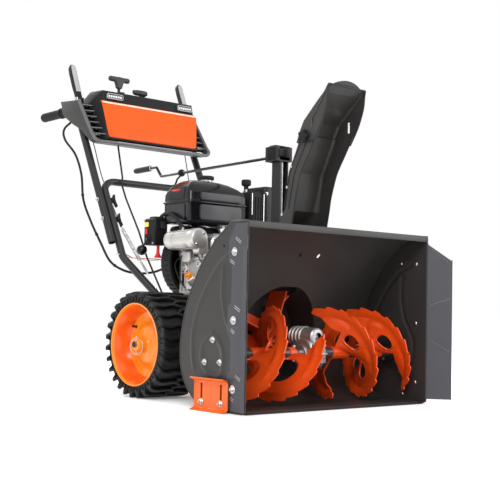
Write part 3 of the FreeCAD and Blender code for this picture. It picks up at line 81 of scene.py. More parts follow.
def add_camera():
    """The view of the photo: heading, pitch, roll and place were fitted to the object's outline."""
    heading, pitch, roll = radians(39.946), radians(3.2), radians(1.2)
    ahead = Vector((sin(heading) * cos(pitch), cos(heading) * cos(pitch),
                    sin(pitch)))
    right = Vector((cos(heading), -sin(heading), 0))
    up = right.cross(ahead)
    right2 = right * cos(roll) + up * sin(roll)
    up2 = up * cos(roll) - right * sin(roll)
    data = bpy.data.cameras.new("Camera")
    data.sensor_width = SENSOR
    data.lens = SENSOR * FOCAL_PIXELS / PHOTO_PIXELS
    data.clip_start, data.clip_end = 0.1, 100
    camera = bpy.data.objects.new("Camera", data)
    SCENE.collection.objects.link(camera)
    turn = Matrix((right2, up2, -ahead)).transposed().to_4x4()
    camera.matrix_world = Matrix.Translation(at(-2091.3, -2077.8, 281.35)) @ turn
    SCENE.camera = camera


def add_light(name, place, target, energy, size):
    """A soft rectangular lamp aimed at a target."""
    data = bpy.data.lights.new(name, "AREA")
    data.energy = energy
    data.shape = "RECTANGLE"
    data.size, data.size_y = size
    lamp = bpy.data.objects.new(name, data)
    SCENE.collection.objects.link(lamp)
    lamp.location = place
    lamp.rotation_mode = "QUATERNION"
    lamp.rotation_quaternion = (Vector(target) - Vector(place)).to_track_quat("-Z", "Y")


def add_studio():
    """A white world, three lamps and a plain pale floor."""
    world = bpy.data.worlds.new("Studio")
    SCENE.world = world
    world.use_nodes = True
    set_inputs(world.node_tree.nodes["Background"], Color=WHITE, Strength=1.0)
    add_light("Key", (-3.0, -3.2, 3.2), (0, 0, 0.5), 125, (2.0, 2.0))
    add_light("Fill", (2.6, -3.4, 1.6), (0, 0, 0.4), 50, (2.6, 2.0))
    add_light("Back", (0.5, 3.4, 3.0), (0, 0, 0.6), 80, (3.0, 1.6))
    SCENE.view_settings.view_transform = "Standard"
    bm = bmesh.new()
    bmesh.ops.create_grid(bm, x_segments=1, y_segments=1, size=30)
    mesh = bpy.data.meshes.new("Floor")
    bm.to_mesh(mesh)
    floor = bpy.data.objects.new("Floor", mesh)
    SCENE.collection.objects.link(floor)
    mat = bpy.data.materials.new("Floor")
    mat.use_nodes = True
    set_inputs(mat.node_tree.nodes["Principled BSDF"], Base_Color=(0.98, 0.98, 0.98, 1), Roughness=0.9,
               Emission_Color=WHITE, Emission_Strength=0.14)
    mesh.materials.append(mat)


# ------------------------------------------------------------------ materials

def set_inputs(made, **values):
    """Constants on a node's sockets; an underscore in a name stands for a space."""
    for name, value in values.items():
        made.inputs[name.replace("_", " ")].default_value = value
    return made


def node(tree, kind, **values):
    """A shader node with constants on its sockets."""
    return set_inputs(tree.nodes.new(kind), **values)


DARK, BLOTCH, SPREAD = 0.75, 9.0, 0.1   # depth of the dark blotches, their scale, change in roughness


def finish_of(name, color, rough, metallic, coat, grain, bump, shine=0.5, vary=0.12):
    """A procedural finish: blotchy colour and roughness over a fine grained bump."""
    mat = bpy.data.materials.new(name)
    mat.use_nodes = True
    tree = mat.node_tree
    link = tree.links.new
    shader = set_inputs(tree.nodes["Principled BSDF"], Metallic=metallic, Coat_Weight=coat,
                        Coat_Roughness=0.12, Specular_IOR_Level=shine)
    place = node(tree, "ShaderNodeTexCoord")
    large = node(tree, "ShaderNodeTexNoise", Scale=BLOTCH, Detail=5.0, Roughness=0.6)
    small = node(tree, "ShaderNodeTexNoise", Scale=grain, Detail=3.0, Roughness=0.6)
    for texture in (large, small):
        link(place.outputs["Object"], texture.inputs["Vector"])
    mix = node(tree, "ShaderNodeMix")
    mix.data_type = "RGBA"
    set_inputs(mix, A=tuple(c * DARK for c in color) + (1,),
               B=tuple(min(1, c * (2 - DARK)) for c in color) + (1,))
    for low, high, socket in ((0.5 - vary, 0.5 + vary, mix.inputs["Factor"]),
                              (max(0.03, rough - SPREAD), min(1, rough + SPREAD),
                               shader.inputs["Roughness"])):
        ramp = node(tree, "ShaderNodeMapRange", From_Min=0.3, From_Max=0.7, To_Min=low, To_Max=high)
        link(large.outputs["Fac"], ramp.inputs["Value"])
        link(ramp.outputs["Result"], socket)
    link(mix.outputs["Result"], shader.inputs["Base Color"])
    relief = node(tree, "ShaderNodeBump", Strength=bump, Distance=0.0004)
    link(small.outputs["Fac"], relief.inputs["Height"])
    link(relief.outputs["Normal"], shader.inputs["Normal"])
    return mat


# Colour, roughness, metal, coat, grain, bump, then shine and blotch contrast where they differ.
FINISHES = {
    "charcoal_steel": ((0.032, 0.03, 0.029), 0.42, 0, 0.08, 1400, 0.12, 0.3),
    "wing_steel": ((0.046, 0.046, 0.055), 0.42, 0, 0.1, 1400, 0.1, 0.4),
    "black_steel": ((0.014, 0.014, 0.014), 0.4, 0, 0.05, 1200, 0.1, 0.25),
    "black_tube": ((0.016, 0.016, 0.017), 0.36, 0, 0.1, 1200, 0.08, 0.35),
    "orange_steel": ((0.66, 0.062, 0.005), 0.36, 0, 0.15, 900, 0.08, 0.3),
    "orange_gloss": ((0.76, 0.1, 0.005), 0.28, 0, 0.3, 700, 0.05, 0.3),
    "orange_plastic": ((0.72, 0.088, 0.005), 0.4, 0, 0.05, 900, 0.04, 0.2, 0.05),
    "black_plastic": ((0.009, 0.009, 0.01), 0.5, 0, 0, 1800, 0.2, 0.22),
    "gloss_black": ((0.004, 0.004, 0.005), 0.2, 0, 0.12, 500, 0.03, 0.3),
    "red_plastic": ((0.6, 0.02, 0.015), 0.35, 0, 0.1, 1200, 0.05, 0.3),
    "rubber_black": ((0.011, 0.011, 0.011), 0.7, 0, 0, 1500, 0.35, 0.3),
    "tyre_black": ((0.007, 0.007, 0.0075), 0.52, 0, 0, 700, 0.4, 0.35, 0.25),
    "bare_steel": ((0.42, 0.42, 0.43), 0.35, 1.0, 0, 600, 0.1),
    "zinc_steel": ((0.55, 0.55, 0.54), 0.32, 1.0, 0, 700, 0.1),
    "cast_iron": ((0.02, 0.02, 0.02), 0.55, 0.1, 0, 350, 0.5, 0.3),
    "engine_alloy": ((0.4, 0.4, 0.39), 0.42, 0.9, 0, 300, 0.35),
    "lamp_lens": ((0.75, 0.76, 0.78), 0.15, 0, 0.5, 300, 0.1),
    # Finishes for pieces that differ from their slot's main colour.
    "dark_steel": ((0.075, 0.075, 0.08), 0.35, 0.6, 0, 800, 0.1),
    "strap_grey": ((0.035, 0.033, 0.032), 0.45, 0, 0, 1600, 0.15, 0.35),
    # Lighter grey of the console bead and the wing folds: painted highlight.
    "highlight_grey": ((0.1, 0.1, 0.105), 0.3, 0, 0.1, 1600, 0.06),
    "slat_grey": ((0.16, 0.16, 0.165), 0.35, 0, 0, 1600, 0.08),
    "pale_grey": ((0.36, 0.36, 0.36), 0.5, 0, 0, 1600, 0.05, 0.5, 0.03),
    "lamp_dark": ((0.03, 0.03, 0.03), 0.2, 0, 0.5, 300, 0.05),
    "lamp_rim": ((0.28, 0.28, 0.29), 0.3, 0.2, 0.2, 900, 0.04),
    "rod_black": ((0.016, 0.016, 0.017), 0.35, 0.3, 0, 900, 0.05, 0.3),
    "orange_shoe": ((0.76, 0.12, 0.006), 0.34, 0, 0.2, 900, 0.08, 0.3),
    # Lighter orange: painted light on the rim disc, and the oil cap knob's own colour.
    "orange_disc": ((0.84, 0.235, 0.008), 0.22, 0, 0.4, 700, 0.05, 0.35),
    # Painted highlight along the console panel's top fold.
    "highlight_orange": ((0.93, 0.62, 0.48), 0.3, 0, 0.3, 900, 0.04),
    "tank_grey": ((0.014, 0.014, 0.018), 0.3, 0, 0.1, 700, 0.04, 0.4),
    "light_alloy": ((0.6, 0.585, 0.56), 0.4, 0.75, 0, 300, 0.3),
    "label_yellow": ((0.8, 0.68, 0.12), 0.4, 0, 0.1, 900, 0.03),
    "red_wire": ((0.6, 0.02, 0.01), 0.4, 0, 0.1, 900, 0.05),
    "pale_wire": ((0.75, 0.68, 0.5), 0.45, 0, 0.1, 900, 0.05),
}
MATS = {name: finish_of(name, *row) for name, row in FINISHES.items()}


# ------------------------------------------------------------------ mesh tools (millimetres)

def piece(name, geometry, slot, body="machine", covers=(), bevel=0.0, angle=32, solid=0.0, look=None):
    """A mesh from (points, faces) given in millimetres, riding on a CAD body unless body is None."""
    points, faces = geometry
    mesh = bpy.data.meshes.new(name)
    mesh.from_pydata([at(*p) for p in points], [], faces)
    bm = bmesh.new()
    bm.from_mesh(mesh)
    bmesh.ops.remove_doubles(bm, verts=bm.verts, dist=0.00002)
    bmesh.ops.recalc_face_normals(bm, faces=bm.faces)
    bm.to_mesh(mesh)
    bm.free()
    mesh.validate()
    obj = bpy.data.objects.new(name, mesh)
    SCENE.collection.objects.link(obj)
    mesh.materials.append(MATS[look or slot])
    if solid:
        mod = obj.modifiers.new("Sheet", "SOLIDIFY")
        mod.thickness = solid / 1000
        mod.offset = 0
    if bevel:
        mod = obj.modifiers.new("Edges", "BEVEL")
        mod.width = bevel / 1000
        mod.segments = 2
        mod.limit_method = "ANGLE"
        mod.angle_limit = radians(angle)
        mod.harden_normals = False
    shade(obj, angle)
    if body:
        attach(obj, body)
    if covers:
        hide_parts(*covers)
    return obj


def shade(obj, angle):
    """Smooth shading except across edges sharper than an angle in degrees."""
    polygons = obj.data.polygons
    polygons.foreach_set("use_smooth", [True] * len(polygons))
    obj.modifiers.new("Crease", "NODES").node_group = crease_group(angle)


def crease_group(angle):
    """The geometry nodes that split the shading at edges sharper than the angle."""
    name = "Crease%d" % angle
    if name in bpy.data.node_groups:
        return bpy.data.node_groups[name]
    group = bpy.data.node_groups.new(name, "GeometryNodeTree")
    group.interface.new_socket("Geometry", in_out="INPUT", socket_type="NodeSocketGeometry")
    group.interface.new_socket("Geometry", in_out="OUTPUT", socket_type="NodeSocketGeometry")
    start = group.nodes.new("NodeGroupInput")
    end = group.nodes.new("NodeGroupOutput")
    edge_angle = group.nodes.new("GeometryNodeInputMeshEdgeAngle")
    compare = group.nodes.new("FunctionNodeCompare")
    compare.data_type = "FLOAT"
    compare.operation = "LESS_EQUAL"
    compare.inputs[1].default_value = radians(angle)
    shade = group.nodes.new("GeometryNodeSetShadeSmooth")
    shade.domain = "EDGE"
    group.links.new(edge_angle.outputs["Unsigned Angle"], compare.inputs[0])
    group.links.new(start.outputs[0], shade.inputs["Geometry"])
    group.links.new(compare.outputs[0], shade.inputs["Shade Smooth"])
    group.links.new(shade.outputs[0], end.inputs[0])
    return group


def joined(*parts):
    """Several (points, faces) as one."""
    points, faces = [], []
    for more_points, more_faces in parts:
        shift = len(points)
        points += list(more_points)
        faces += [tuple(i + shift for i in face) for face in more_faces]
    return points, faces


def moved(geometry, move=(0, 0, 0), turn=(X, 0), centre=(0, 0, 0)):
    """Turned about a centre by (axis, degrees), and moved."""
    points, faces = geometry
    rotation, centre = Matrix.Rotation(radians(turn[1]), 3, Vector(turn[0])), Vector(centre)
    return [tuple(rotation @ (Vector(p) - centre) + centre + Vector(move)) for p in points], faces


def polar(centre, radius, angle):
    """The point of a circle at an angle in degrees."""
    return centre[0] + radius * cos(radians(angle)), centre[1] + radius * sin(radians(angle))


def box(low, high):
    """A block between two corners."""
    x0, y0, z0 = low
    x1, y1, z1 = high
    points = [(x0, y0, z0), (x1, y0, z0), (x1, y1, z0), (x0, y1, z0),
              (x0, y0, z1), (x1, y0, z1), (x1, y1, z1), (x0, y1, z1)]
    return points, [(0, 3, 2, 1), (4, 5, 6, 7), (0, 1, 5, 4), (1, 2, 6, 5), (2, 3, 7, 6), (3, 0, 4, 7)]


def rings_mesh(rings, closed_rings=True, caps=BOTH, loop=False):
    """Faces between rings of equal length."""
    count = len(rings[0])
    points = [tuple(p) for ring in rings for p in ring]
    faces = []
    total = len(rings)
    for row in range(total if loop else total - 1):
        after = (row + 1) % total
        for i in range(count if closed_rings else count - 1):
            j = (i + 1) % count
            faces.append((row * count + i, row * count + j, after * count + j, after * count + i))
    if caps[0] and not loop:
        faces.append(tuple(range(count)))
    if caps[1] and not loop:
        faces.append(tuple(range((total - 1) * count, total * count)))
    return points, faces


def frame_of(axis):
    """An axis as a unit vector, with two directions across it."""
    axis = Vector(axis).normalized()
    side = Vector(Z).cross(axis) if abs(axis.z) < 0.9 else Vector(X).cross(axis)
    side.normalize()
    return axis, side, axis.cross(side)


def lathe(profile, base, axis=Z, sides=48, caps=NEITHER, lobes=None):
    """(radius, height) pairs turned about an axis. `lobes` may change a radius by angle."""
    axis, side, up = frame_of(axis)
    rings = []
    for index, (radius, height) in enumerate(profile):
        ring = []
        for step in range(sides):
            angle = 2 * pi * step / sides
            r, h = max(radius, 0.01), height
            if lobes:
                r, h = lobes(r, h, angle, index)
            ring.append(Vector(base) + axis * h + (side * cos(angle) + up * sin(angle)) * r)
        rings.append(ring)
    return rings_mesh(rings, True, caps)


def spindle(*half, end):
    """A profile symmetrical about height 0, from (radius, height) pairs of its upper half."""
    upper = [(0.02, end), *half]
    return [(r, -h) for r, h in upper] + [(r, h) for r, h in reversed(upper[:-1])]


def smooth_path(points, steps=8):
    """A Catmull-Rom line through the points."""
    points = [Vector(p) for p in points]
    extended = [points[0] * 2 - points[1]] + points + [points[-1] * 2 - points[-2]]
    out = []
    for i in range(1, len(extended) - 2):
        p0, p1, p2, p3 = extended[i - 1:i + 3]
        for step in range(steps):
            t = step / steps
            out.append(0.5 * ((2 * p1) + (p2 - p0) * t + (2 * p0 - 5 * p1 + 4 * p2 - p3) * t * t
                              + (3 * p1 - p0 - 3 * p2 + p3) * t ** 3))
    out.append(points[-1])
    return out


def sweep(path, radius, sides=14, section=None, up=None, loop=False):
    """A tube, or any closed section of (across, above) pairs, along a path."""
    path = [Vector(p) for p in path]
    radii = radius if isinstance(radius, (list, tuple)) else [radius] * len(path)
    if section is None:
        section = [(cos(2 * pi * i / sides), sin(2 * pi * i / sides))
                   for i in range(sides)]
    rings = []
    normal = None
    total = len(path)
    for i, p in enumerate(path):
        before = path[i - 1] if i else (path[-1] if loop else path[0])
        after = path[(i + 1) % total] if (i < total - 1 or loop) else path[i]
        tangent = (after - before).normalized()
        if up is not None:
            normal = Vector(up)
        elif normal is None:
            normal = frame_of(tangent)[1]
        normal = (normal - tangent * normal.dot(tangent)).normalized()
        across = tangent.cross(normal)
        rings.append([p + (across * u + normal * v) * radii[i] for u, v in section])
    return rings_mesh(rings, loop=loop)


def on_axis(axis, u, v, level):
    """A point from two coordinates across an axis and a level along it."""
    return {"z": (u, v, level), "y": (u, level, v), "x": (level, u, v)}[axis]


def plate(outline, axis, low, high):
    """A flat plate: an outline of two coordinates, extruded along x, y or z."""
    return rings_mesh([[on_axis(axis, u, v, level) for u, v in outline] for level in (low, high)])


def rounded(outline, radius, steps=5):
    """An outline with its corners rounded; a corner may be (u, v, own radius)."""
    out = []
    total = len(outline)
    for i, corner in enumerate(outline):
        here = Vector((corner[0], corner[1], 0))
        before = Vector((outline[i - 1][0], outline[i - 1][1], 0))
        after = Vector((outline[(i + 1) % total][0], outline[(i + 1) % total][1], 0))
        r = corner[2] if len(corner) > 2 else radius
        back, ahead = before - here, after - here
        if r <= 0 or back.angle(ahead) > 3.1:
            out.append((here.x, here.y))
            continue
        half = back.angle(ahead) / 2
        r = min(r, 0.48 * min(back.length, ahead.length) * tan(half))
        reach = r / tan(half)
        back.normalize()
        ahead.normalize()
        centre = here + (back + ahead).normalized() * (r / sin(half))
        start, end = here + back * reach - centre, here + ahead * reach - centre
        angle = start.angle(end)
        for step in range(steps + 1):
            share = step / steps
            p = centre + (start * sin((1 - share) * angle) + end * sin(share * angle)) \
                / sin(angle)
            out.append((p.x, p.y))
    return out


def oblong(u0, u1, v0, v1, radius, steps=5):
    """A rectangle's outline with rounded corners."""
    return rounded([(u0, v0), (u1, v0), (u1, v1), (u0, v1)], radius, steps)


def bolt(place, axis, size=5.5, washer=1.9, height=4.5, stud=0.0):
    """Hexagon bolt head on a washer, with a stud end if asked."""
    axis_v, side, up = frame_of(axis)
    hexagon = []
    for level, scale in ((1.6, 1.0), (1.6 + height * 0.8, 1.0), (1.6 + height, 0.82)):
        hexagon.append([Vector(place) + axis_v * level
                        + (side * cos(radians(60 * i)) + up * sin(radians(60 * i)))
                        * size * scale for i in range(6)])
    parts = [lathe([(size * washer, 0), (size * washer, 1.0), (size * washer - 0.8, 1.6), (size, 1.6)],
                   place, axis, 24, caps=BOTH), rings_mesh(hexagon)]
    if stud:
        parts.append(lathe([(size * 0.5, 1), (size * 0.5, 1.6 + height + stud - 1),
                            (size * 0.4, 1.6 + height + stud)], place, axis, 12, caps=BOTH))
    return joined(*parts)


# ------------------------------------------------------------------ intake: auger, plates, shoes

AUGER = (0, AUGER_Y, AUGER_Z)
TWIST, SPREAD_ANGLE = 286.0, 350.0          # advance of a flight in one turn, and the angle that it spans
TOOTH_ROOT, EDGE, TOOTH_ANGLE = 108, 137.6, 18.0   # serrated edge: radii, and the angle of one tooth


def ribbon(side, start):
    """One serrated flight: a warped band with eyes and wide openings, arms and a raised bead."""
    points, faces = [], []
    end = start + SPREAD_ANGLE
    arms = [k * 180.0 + a for k in range(-1, 5) for a in (120.0, 180.0)]
    marks = [start] + [a for a in arms if start + 5 < a < end - 5] + [end]

    def put(angle, radius, lift):
        """Adds a point of the warped band and returns its index."""
        x = side * (54.0 + TWIST * (angle - start) / 360 + lift)
        saw = (angle / TOOTH_ANGLE) % 1.0
        edge = max(0.0, (radius - TOOTH_ROOT) / (EDGE - TOOTH_ROOT)) ** 2
        radius -= edge * (8.5 * saw if saw < 0.93 else 1.0)
        points.append((x, *polar(AUGER[1:], radius, angle)))
        return len(points) - 1

    def bead(radius):
        """The lift of the band's raised bead."""
        return 7.0 * exp(-((radius - 106) / 9.0) ** 2)

    for index, (first, last) in enumerate(zip(marks, marks[1:])):
        middle, half = (first + last) / 2, (last - first) / 2
        rings = []
        if index in (0, len(marks) - 2):
            # A free end: the band narrows to a point.
            columns, rows = max(10, int((last - first) / 1.5)), 8
            for row in range(rows + 1):
                ring = []
                for column in range(columns + 1):
                    share = column / columns if index else 1 - column / columns
                    low = 72 + 54 * max(0, share - 0.3) ** 1.5 / 0.7 ** 1.5
                    radius = low + (EDGE - low) * row / rows
                    ring.append(put(first + (last - first) * column / columns, radius, bead(radius)))
                rings.append(ring)
            for a, b in zip(rings, rings[1:]):
                faces += [(a[i], a[i + 1], b[i + 1], b[i]) for i in range(columns)]
            continue
        steps = 104 if half < 40 else 200
        wide, tall, centre = (15.0, 20.0, 66.0) if half < 40 else (38.0, 30.0, 52.0)
        for loop in range(7):
            share = loop / 6
            ring = []
            for step in range(steps):
                t = 2 * pi * step / steps
                c, s = cos(t), sin(t)
                square = 1 / max(abs(c), abs(s))
                bulge = (abs(c) ** 2.5 + abs(s) ** 2.5) ** -0.4
                taper = 1.25 - 0.25 * s if half < 40 else 1.0
                eye = (middle + c * bulge * wide * taper, centre + s * bulge * tall)
                edge = (middle + c * square * half, 77.3 + s * square * 60.3)
                angle = eye[0] + (edge[0] - eye[0]) * share
                radius = eye[1] + (edge[1] - eye[1]) * share
                rim = 5.0 * exp(-((share - 0.2) / 0.22) ** 2)
                ring.append(put(angle, radius, max(bead(radius), rim)))
            rings.append(ring)
        for a, b in zip(rings, rings[1:]):
            for i in range(steps):
                j = (i + 1) % steps
                if sum(hypot(points[k][1] - AUGER[1], points[k][2] - AUGER[2])
                       for k in (a[i], b[i])) < 44 and half > 40:
                    continue
                faces.append((a[i], a[j], b[j], b[i]))
    return points, faces


def build_auger():
    """Two pairs of flights on sleeves, with collars and shear bolts."""
    spans = {1: ((85, 153), (228, 296)), -1: ((62, 88), (158, 230), (302, 325))}
    for side, name, start in ((1, "left", 68.0), (-1, "right", 153.6)):
        for turn in (0, 180):
            piece("flight_%s_%d" % (name, turn), ribbon(side, start + turn), "orange_steel", "auger",
                  ("auger_flights",) if (side, turn) == (1, 0) else (), solid=4.0, angle=40)
        axis = (side, 0, 0)
        tube = lathe([(12.6, 50), (15, 50), (16, 51), (16, 335), (15, 336), (12.6, 336)], AUGER, axis,
                     40)
        piece("sleeve_" + name, tube, "bare_steel", "auger", look="dark_steel")
        collars = [lathe([(15.5, a), (18, a + 0.6), (18.4, a + 3), (18.4, b - 3), (18, b - 0.6),
                          (15.5, b)], AUGER, axis, 40) for a, b in spans[side]]
        piece("collars_" + name, joined(*collars), "orange_steel", "auger")
        pin = joined(bolt((side * 62, AUGER[1], AUGER[2] + 18.5), Z, 6, 1.3, 4.5),
                     bolt((side * 62, AUGER[1], AUGER[2] - 18.5), (0, 0, -1), 5.5, 1.2, 4))
        piece("shear_bolt_" + name, pin, "zinc_steel", "auger")


def build_gearbox():
    """Cast halves with a bolted flange, ribs and a clamped worm tube."""
    y, z = AUGER_Y, AUGER_Z
    drum = lathe([(13, -38), (24, -38), (26, -36), (26, -30), (40, -30), (47, -24), (48, -5), (54, -5),
                  (54, 5), (48, 5), (47, 24), (40, 30), (26, 30), (26, 36), (24, 38), (13, 38)],
                 (0, y, z), X, 56)
    tube = lathe([(13, -38), (22, -37), (27, -32), (27, 12), (31, 14), (31, 19), (27, 21), (27, 27),
                  (31, 29), (31, 34), (27, 36), (27, 42), (31, 44), (31, 49), (27, 51), (27, 56),
                  (30, 58), (30, 62), (13, 62)], (0, y, 200), Y, 48)
    ribs = [moved(box((-26, y + 20, z - 3), (26, y + 52, z + 3)), turn=(X, angle),
                  centre=(0, y, z)) for angle in (-60, -30, 120, 150, 180, 210)]
    bolts = [bolt((5 * side, *polar((y, z), 50, a)), (side, 0, 0), 4.5, 1.5, 4)
             for side in (1, -1) for a in range(-150, 150, 50)]
    piece("gearbox", joined(drum, tube, *ribs), "engine_alloy", "machine", ("auger_gearbox",), bevel=1.2)
    piece("gearbox_bolts", joined(*bolts), "zinc_steel")


RIBS = [([(61, 427), (108, 403), (148, 364), (182, 321), (210, 272), (229, 214), (231, 157), (222, 113)],
         6.5, 3.6),
        ([(100, 385), (102, 347), (101, 312), (89, 261), (67, 219), (52, 186), (54, 140), (73, 105)],
         6.5, 3.2),
        ([(142, 208), (174, 190), (189, 159), (178, 120), (138, 94), (100, 105), (96, 159), (118, 194),
          (142, 208)], 7.0, 3.0)]


def plate_outline():
    """The side plate's edge (y, z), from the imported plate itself."""
    obj = frame["nodes"]["side_plates"]
    cy, cz = PLATE_MIDDLE
    edge = {}
    for vertex in obj.data.vertices:
        p = obj.matrix_world @ vertex.co
        if p.x < -0.3599:
            y, z = (p.y + MIDDLE) * 1000, p.z * 1000
            edge[round(degrees(atan2(z - cz, y - cy)), 1)] = (y, z)
    angles = sorted(edge)
    full = [a - 360 for a in angles] + angles + [a + 360 for a in angles]
    out = []
    for step in range(240):
        angle = -180 + step * 1.5
        low = max(a for a in full if a <= angle)
        high = min(a for a in full if a > angle)
        p, q = edge[angles[full.index(low) % len(angles)]], edge[angles[full.index(high) % len(angles)]]
        c, s = cos(radians(angle)), sin(radians(angle))
        cross_p, cross_q = ((y - cy) * s - (z - cz) * c for y, z in (p, q))
        share = cross_p / (cross_p - cross_q) if abs(cross_p - cross_q) > 1e-9 else 0
        out.append((p[0] + (q[0] - p[0]) * share, p[1] + (q[1] - p[1]) * share))
    for corner in ((0, 511), (0, 8), (12, 3)):
        angle = degrees(atan2(corner[1] - cz, corner[0] - cy))
        out[round((angle + 180) / 1.5) % 240] = corner
    return out


def away_from(point, line):
    """The distance from a point to a line of points."""
    gaps = []
    for a, b in zip(line, line[1:]):
        d = b - a
        gaps.append((point - a - d * max(0, min(1, (point - a).dot(d) / d.dot(d)))).length)
    return min(gaps)


def build_side_plates():
    """Pressed plates whose ribs rise from the sheet, with a rolled rim."""
    cy, cz = PLATE_MIDDLE
    outline = plate_outline()
    lines = [(smooth_path([(0, y, z) for y, z in line], 5), wide, high) for line, wide, high in RIBS]
    rows = 54
    for side, name in SIDES:
        rings = []
        for row in range(rows + 1):
            share = 0.02 + 0.98 * row / rows
            ring = []
            for y, z in outline:
                p = Vector((0, cy + (y - cy) * share, cz + (z - cz) * share))
                lift = max(high * exp(-(away_from(p, line) / wide) ** 2) for line, wide, high in lines)
                ring.append((side * (357.6 + lift), p.y, p.z))
            rings.append(ring)
        sheet = rings_mesh(rings, True, FIRST)
        piece("side_plate_" + name, sheet, "charcoal_steel", "machine",
              ("side_plates",) if side < 0 else (), solid=3.0, angle=50)
        rim = sweep([(side * 358, y, z) for y, z in outline], 2.6, 8, loop=True)
        piece("side_rim_" + name, rim, "charcoal_steel")
        holes = [lathe([(3.6, 0), (3.6, 1.0), (0.02, 1.2)], (side * 359.3, y, z), (side, 0, 0), 20, LAST)
                 for y, z in ((100, 447), (40, 190))]
        piece("side_hole_" + name, joined(*holes), "rubber_black")


def shoe_patch(side):
    """A pressed shoe with lips rolled outward on all four edges and two slots."""
    rows, columns = 30, 36
    points, faces = [], []
    for row in range(rows + 1):
        z = 1.0 + 88 * row / rows
        for column in range(columns + 1):
            y = 59 + 146 * column / columns
            top, low = max(0, z - 76) / 13, max(0, 12 - z) / 11
            ends = max(0, 66 - y) / 7 + max(0, y - 198) / 7
            out = sum(21 * (1 - sqrt(max(0, 1 - min(1, part) ** 2))) for part in (top, low)) \
                + 5 * min(1, ends) ** 2
            points.append((side * (364.5 + min(out, 21)), y, z))
    for row in range(rows):
        for column in range(columns):
            y = 59 + 146 * (column + 0.5) / columns
            z = 1.0 + 88 * (row + 0.5) / rows
            if 20 < z < 74 and (abs(y - 91) < 4.2 or abs(y - 175) < 4.2):
                continue
            i = row * (columns + 1) + column
            faces.append((i, i + 1, i + columns + 2, i + columns + 1))
    return points, faces


BEARING_BOLTS = ((138.6, 192.4), (172.3, 130.7), (105.8, 132.9))


def build_shoes_and_bolts():
    """Skid shoes, every fastener of the housing, slot marks and the front lip."""
    heads, studs = [], []
    for side, name in SIDES:
        axis = (side, 0, 0)
        piece("skid_shoe_" + name, shoe_patch(side), "orange_steel", "machine",
              ("skid_shoes",) if side < 0 else (), solid=4.0, bevel=1.0, angle=45,
              look="orange_shoe")
        for x, size, places in ((366.5, (6.2, 1.5, 5, 5), ((91, 24), (175, 24))),
                                (360.2, (6.0, 1.5, 4.5, 3), BEARING_BOLTS),
                                (362.6, (6.6, 1.75, 5, 3), ((49, 429), (49, 247), (47, 65)))):
            heads += [bolt((side * x, y, z), axis, *size) for y, z in places]
        for y, z, length, lean in ((34, 460, 28, 34), (33.5, 278, 28, 27), (26.5, 96.5, 26, 26),
                                   (57, 402, 22, 205), (51, 218, 18, 38), (49, 39, 18, 27)):
            for shift in (-2.6, 2.6):
                bar = sweep([(0, -length / 2, shift), (0, -length / 2 + 3, shift),
                             (0, length / 2 - 3, shift), (0, length / 2, shift)],
                            [0.5, 1.1, 1.1, 0.5], 8)
                studs.append(moved(bar, (side * 362.8, y, z), (X, lean)))
    piece("housing_bolt_set", joined(*heads), "zinc_steel", "machine", ("housing_bolts",))
    piece("flange_pips", joined(*studs), "zinc_steel")
    rivets = [lathe([(6.5, 0), (6.2, 1.6), (4.4, 3.0), (0.02, 3.4)], (356.9, y, z), (-1, 0, 0), 20, LAST)
              for y, z in ((104, 430), (42, 427), (42, 244), (42, 63), (93, 24))]
    rivets += [bolt((x, 219, 440), (0, -1, 0.25), 4.2, 1.5, 3.5) for x in (-24, 50)]
    rivets += [bolt((352.6, y, z), (-1, 0, 0), 5, 1.4, 4) for y, z in BEARING_BOLTS]
    piece("inner_screws", joined(*rivets), "zinc_steel")
    lip = sweep([(-357, 1.5, 503), (357, 1.5, 503)], 1.0, section=oblong(-2.2, 2.2, -9, 9, 1.6), up=Z)
    piece("front_lip", lip, "charcoal_steel")


# ------------------------------------------------------------------ wheels

HUB = (WHEEL_Y, WHEEL_Z)
LUG_COUNT = 27


def tyre_lug(side, edge, angle):
    """A curved cross bar from one shoulder to past the middle, running on down the sidewall."""
    rings = []
    for step in range(11):
        t = step / 10
        x = edge * (86.6 - t * 97)
        swing = angle + 7.5 * t + 2.6 * sin(2 * pi * t)
        half = 3.0 - 0.8 * t
        high = 162.2 - 1.8 * max(0, 1 - 6 * t) ** 2
        rings.append([(side * WHEEL_X + x, *polar(HUB, radius, swing + offset)) for offset, radius in
                      ((-half, 147), (-half * 0.8, high), (half * 0.8, high), (half, 147))])
    bars = [rings_mesh(rings)]
    for lean in (-1, 1):
        fin = []
        for step in range(5):
            t = step / 4
            middle, half, out = angle + lean * 4.2 * t, 1.5 - 0.5 * t, 86.8 - 1.5 * t * t
            fin.append([(side * WHEEL_X + edge * (out + depth), *polar(HUB, 158 - 27 * t, middle + offset))
                        for offset, depth in ((-half, -9), (-half * 0.6, 0), (half * 0.6, 0), (half, -9))])
        bars.append(rings_mesh(fin))
    return joined(*bars)


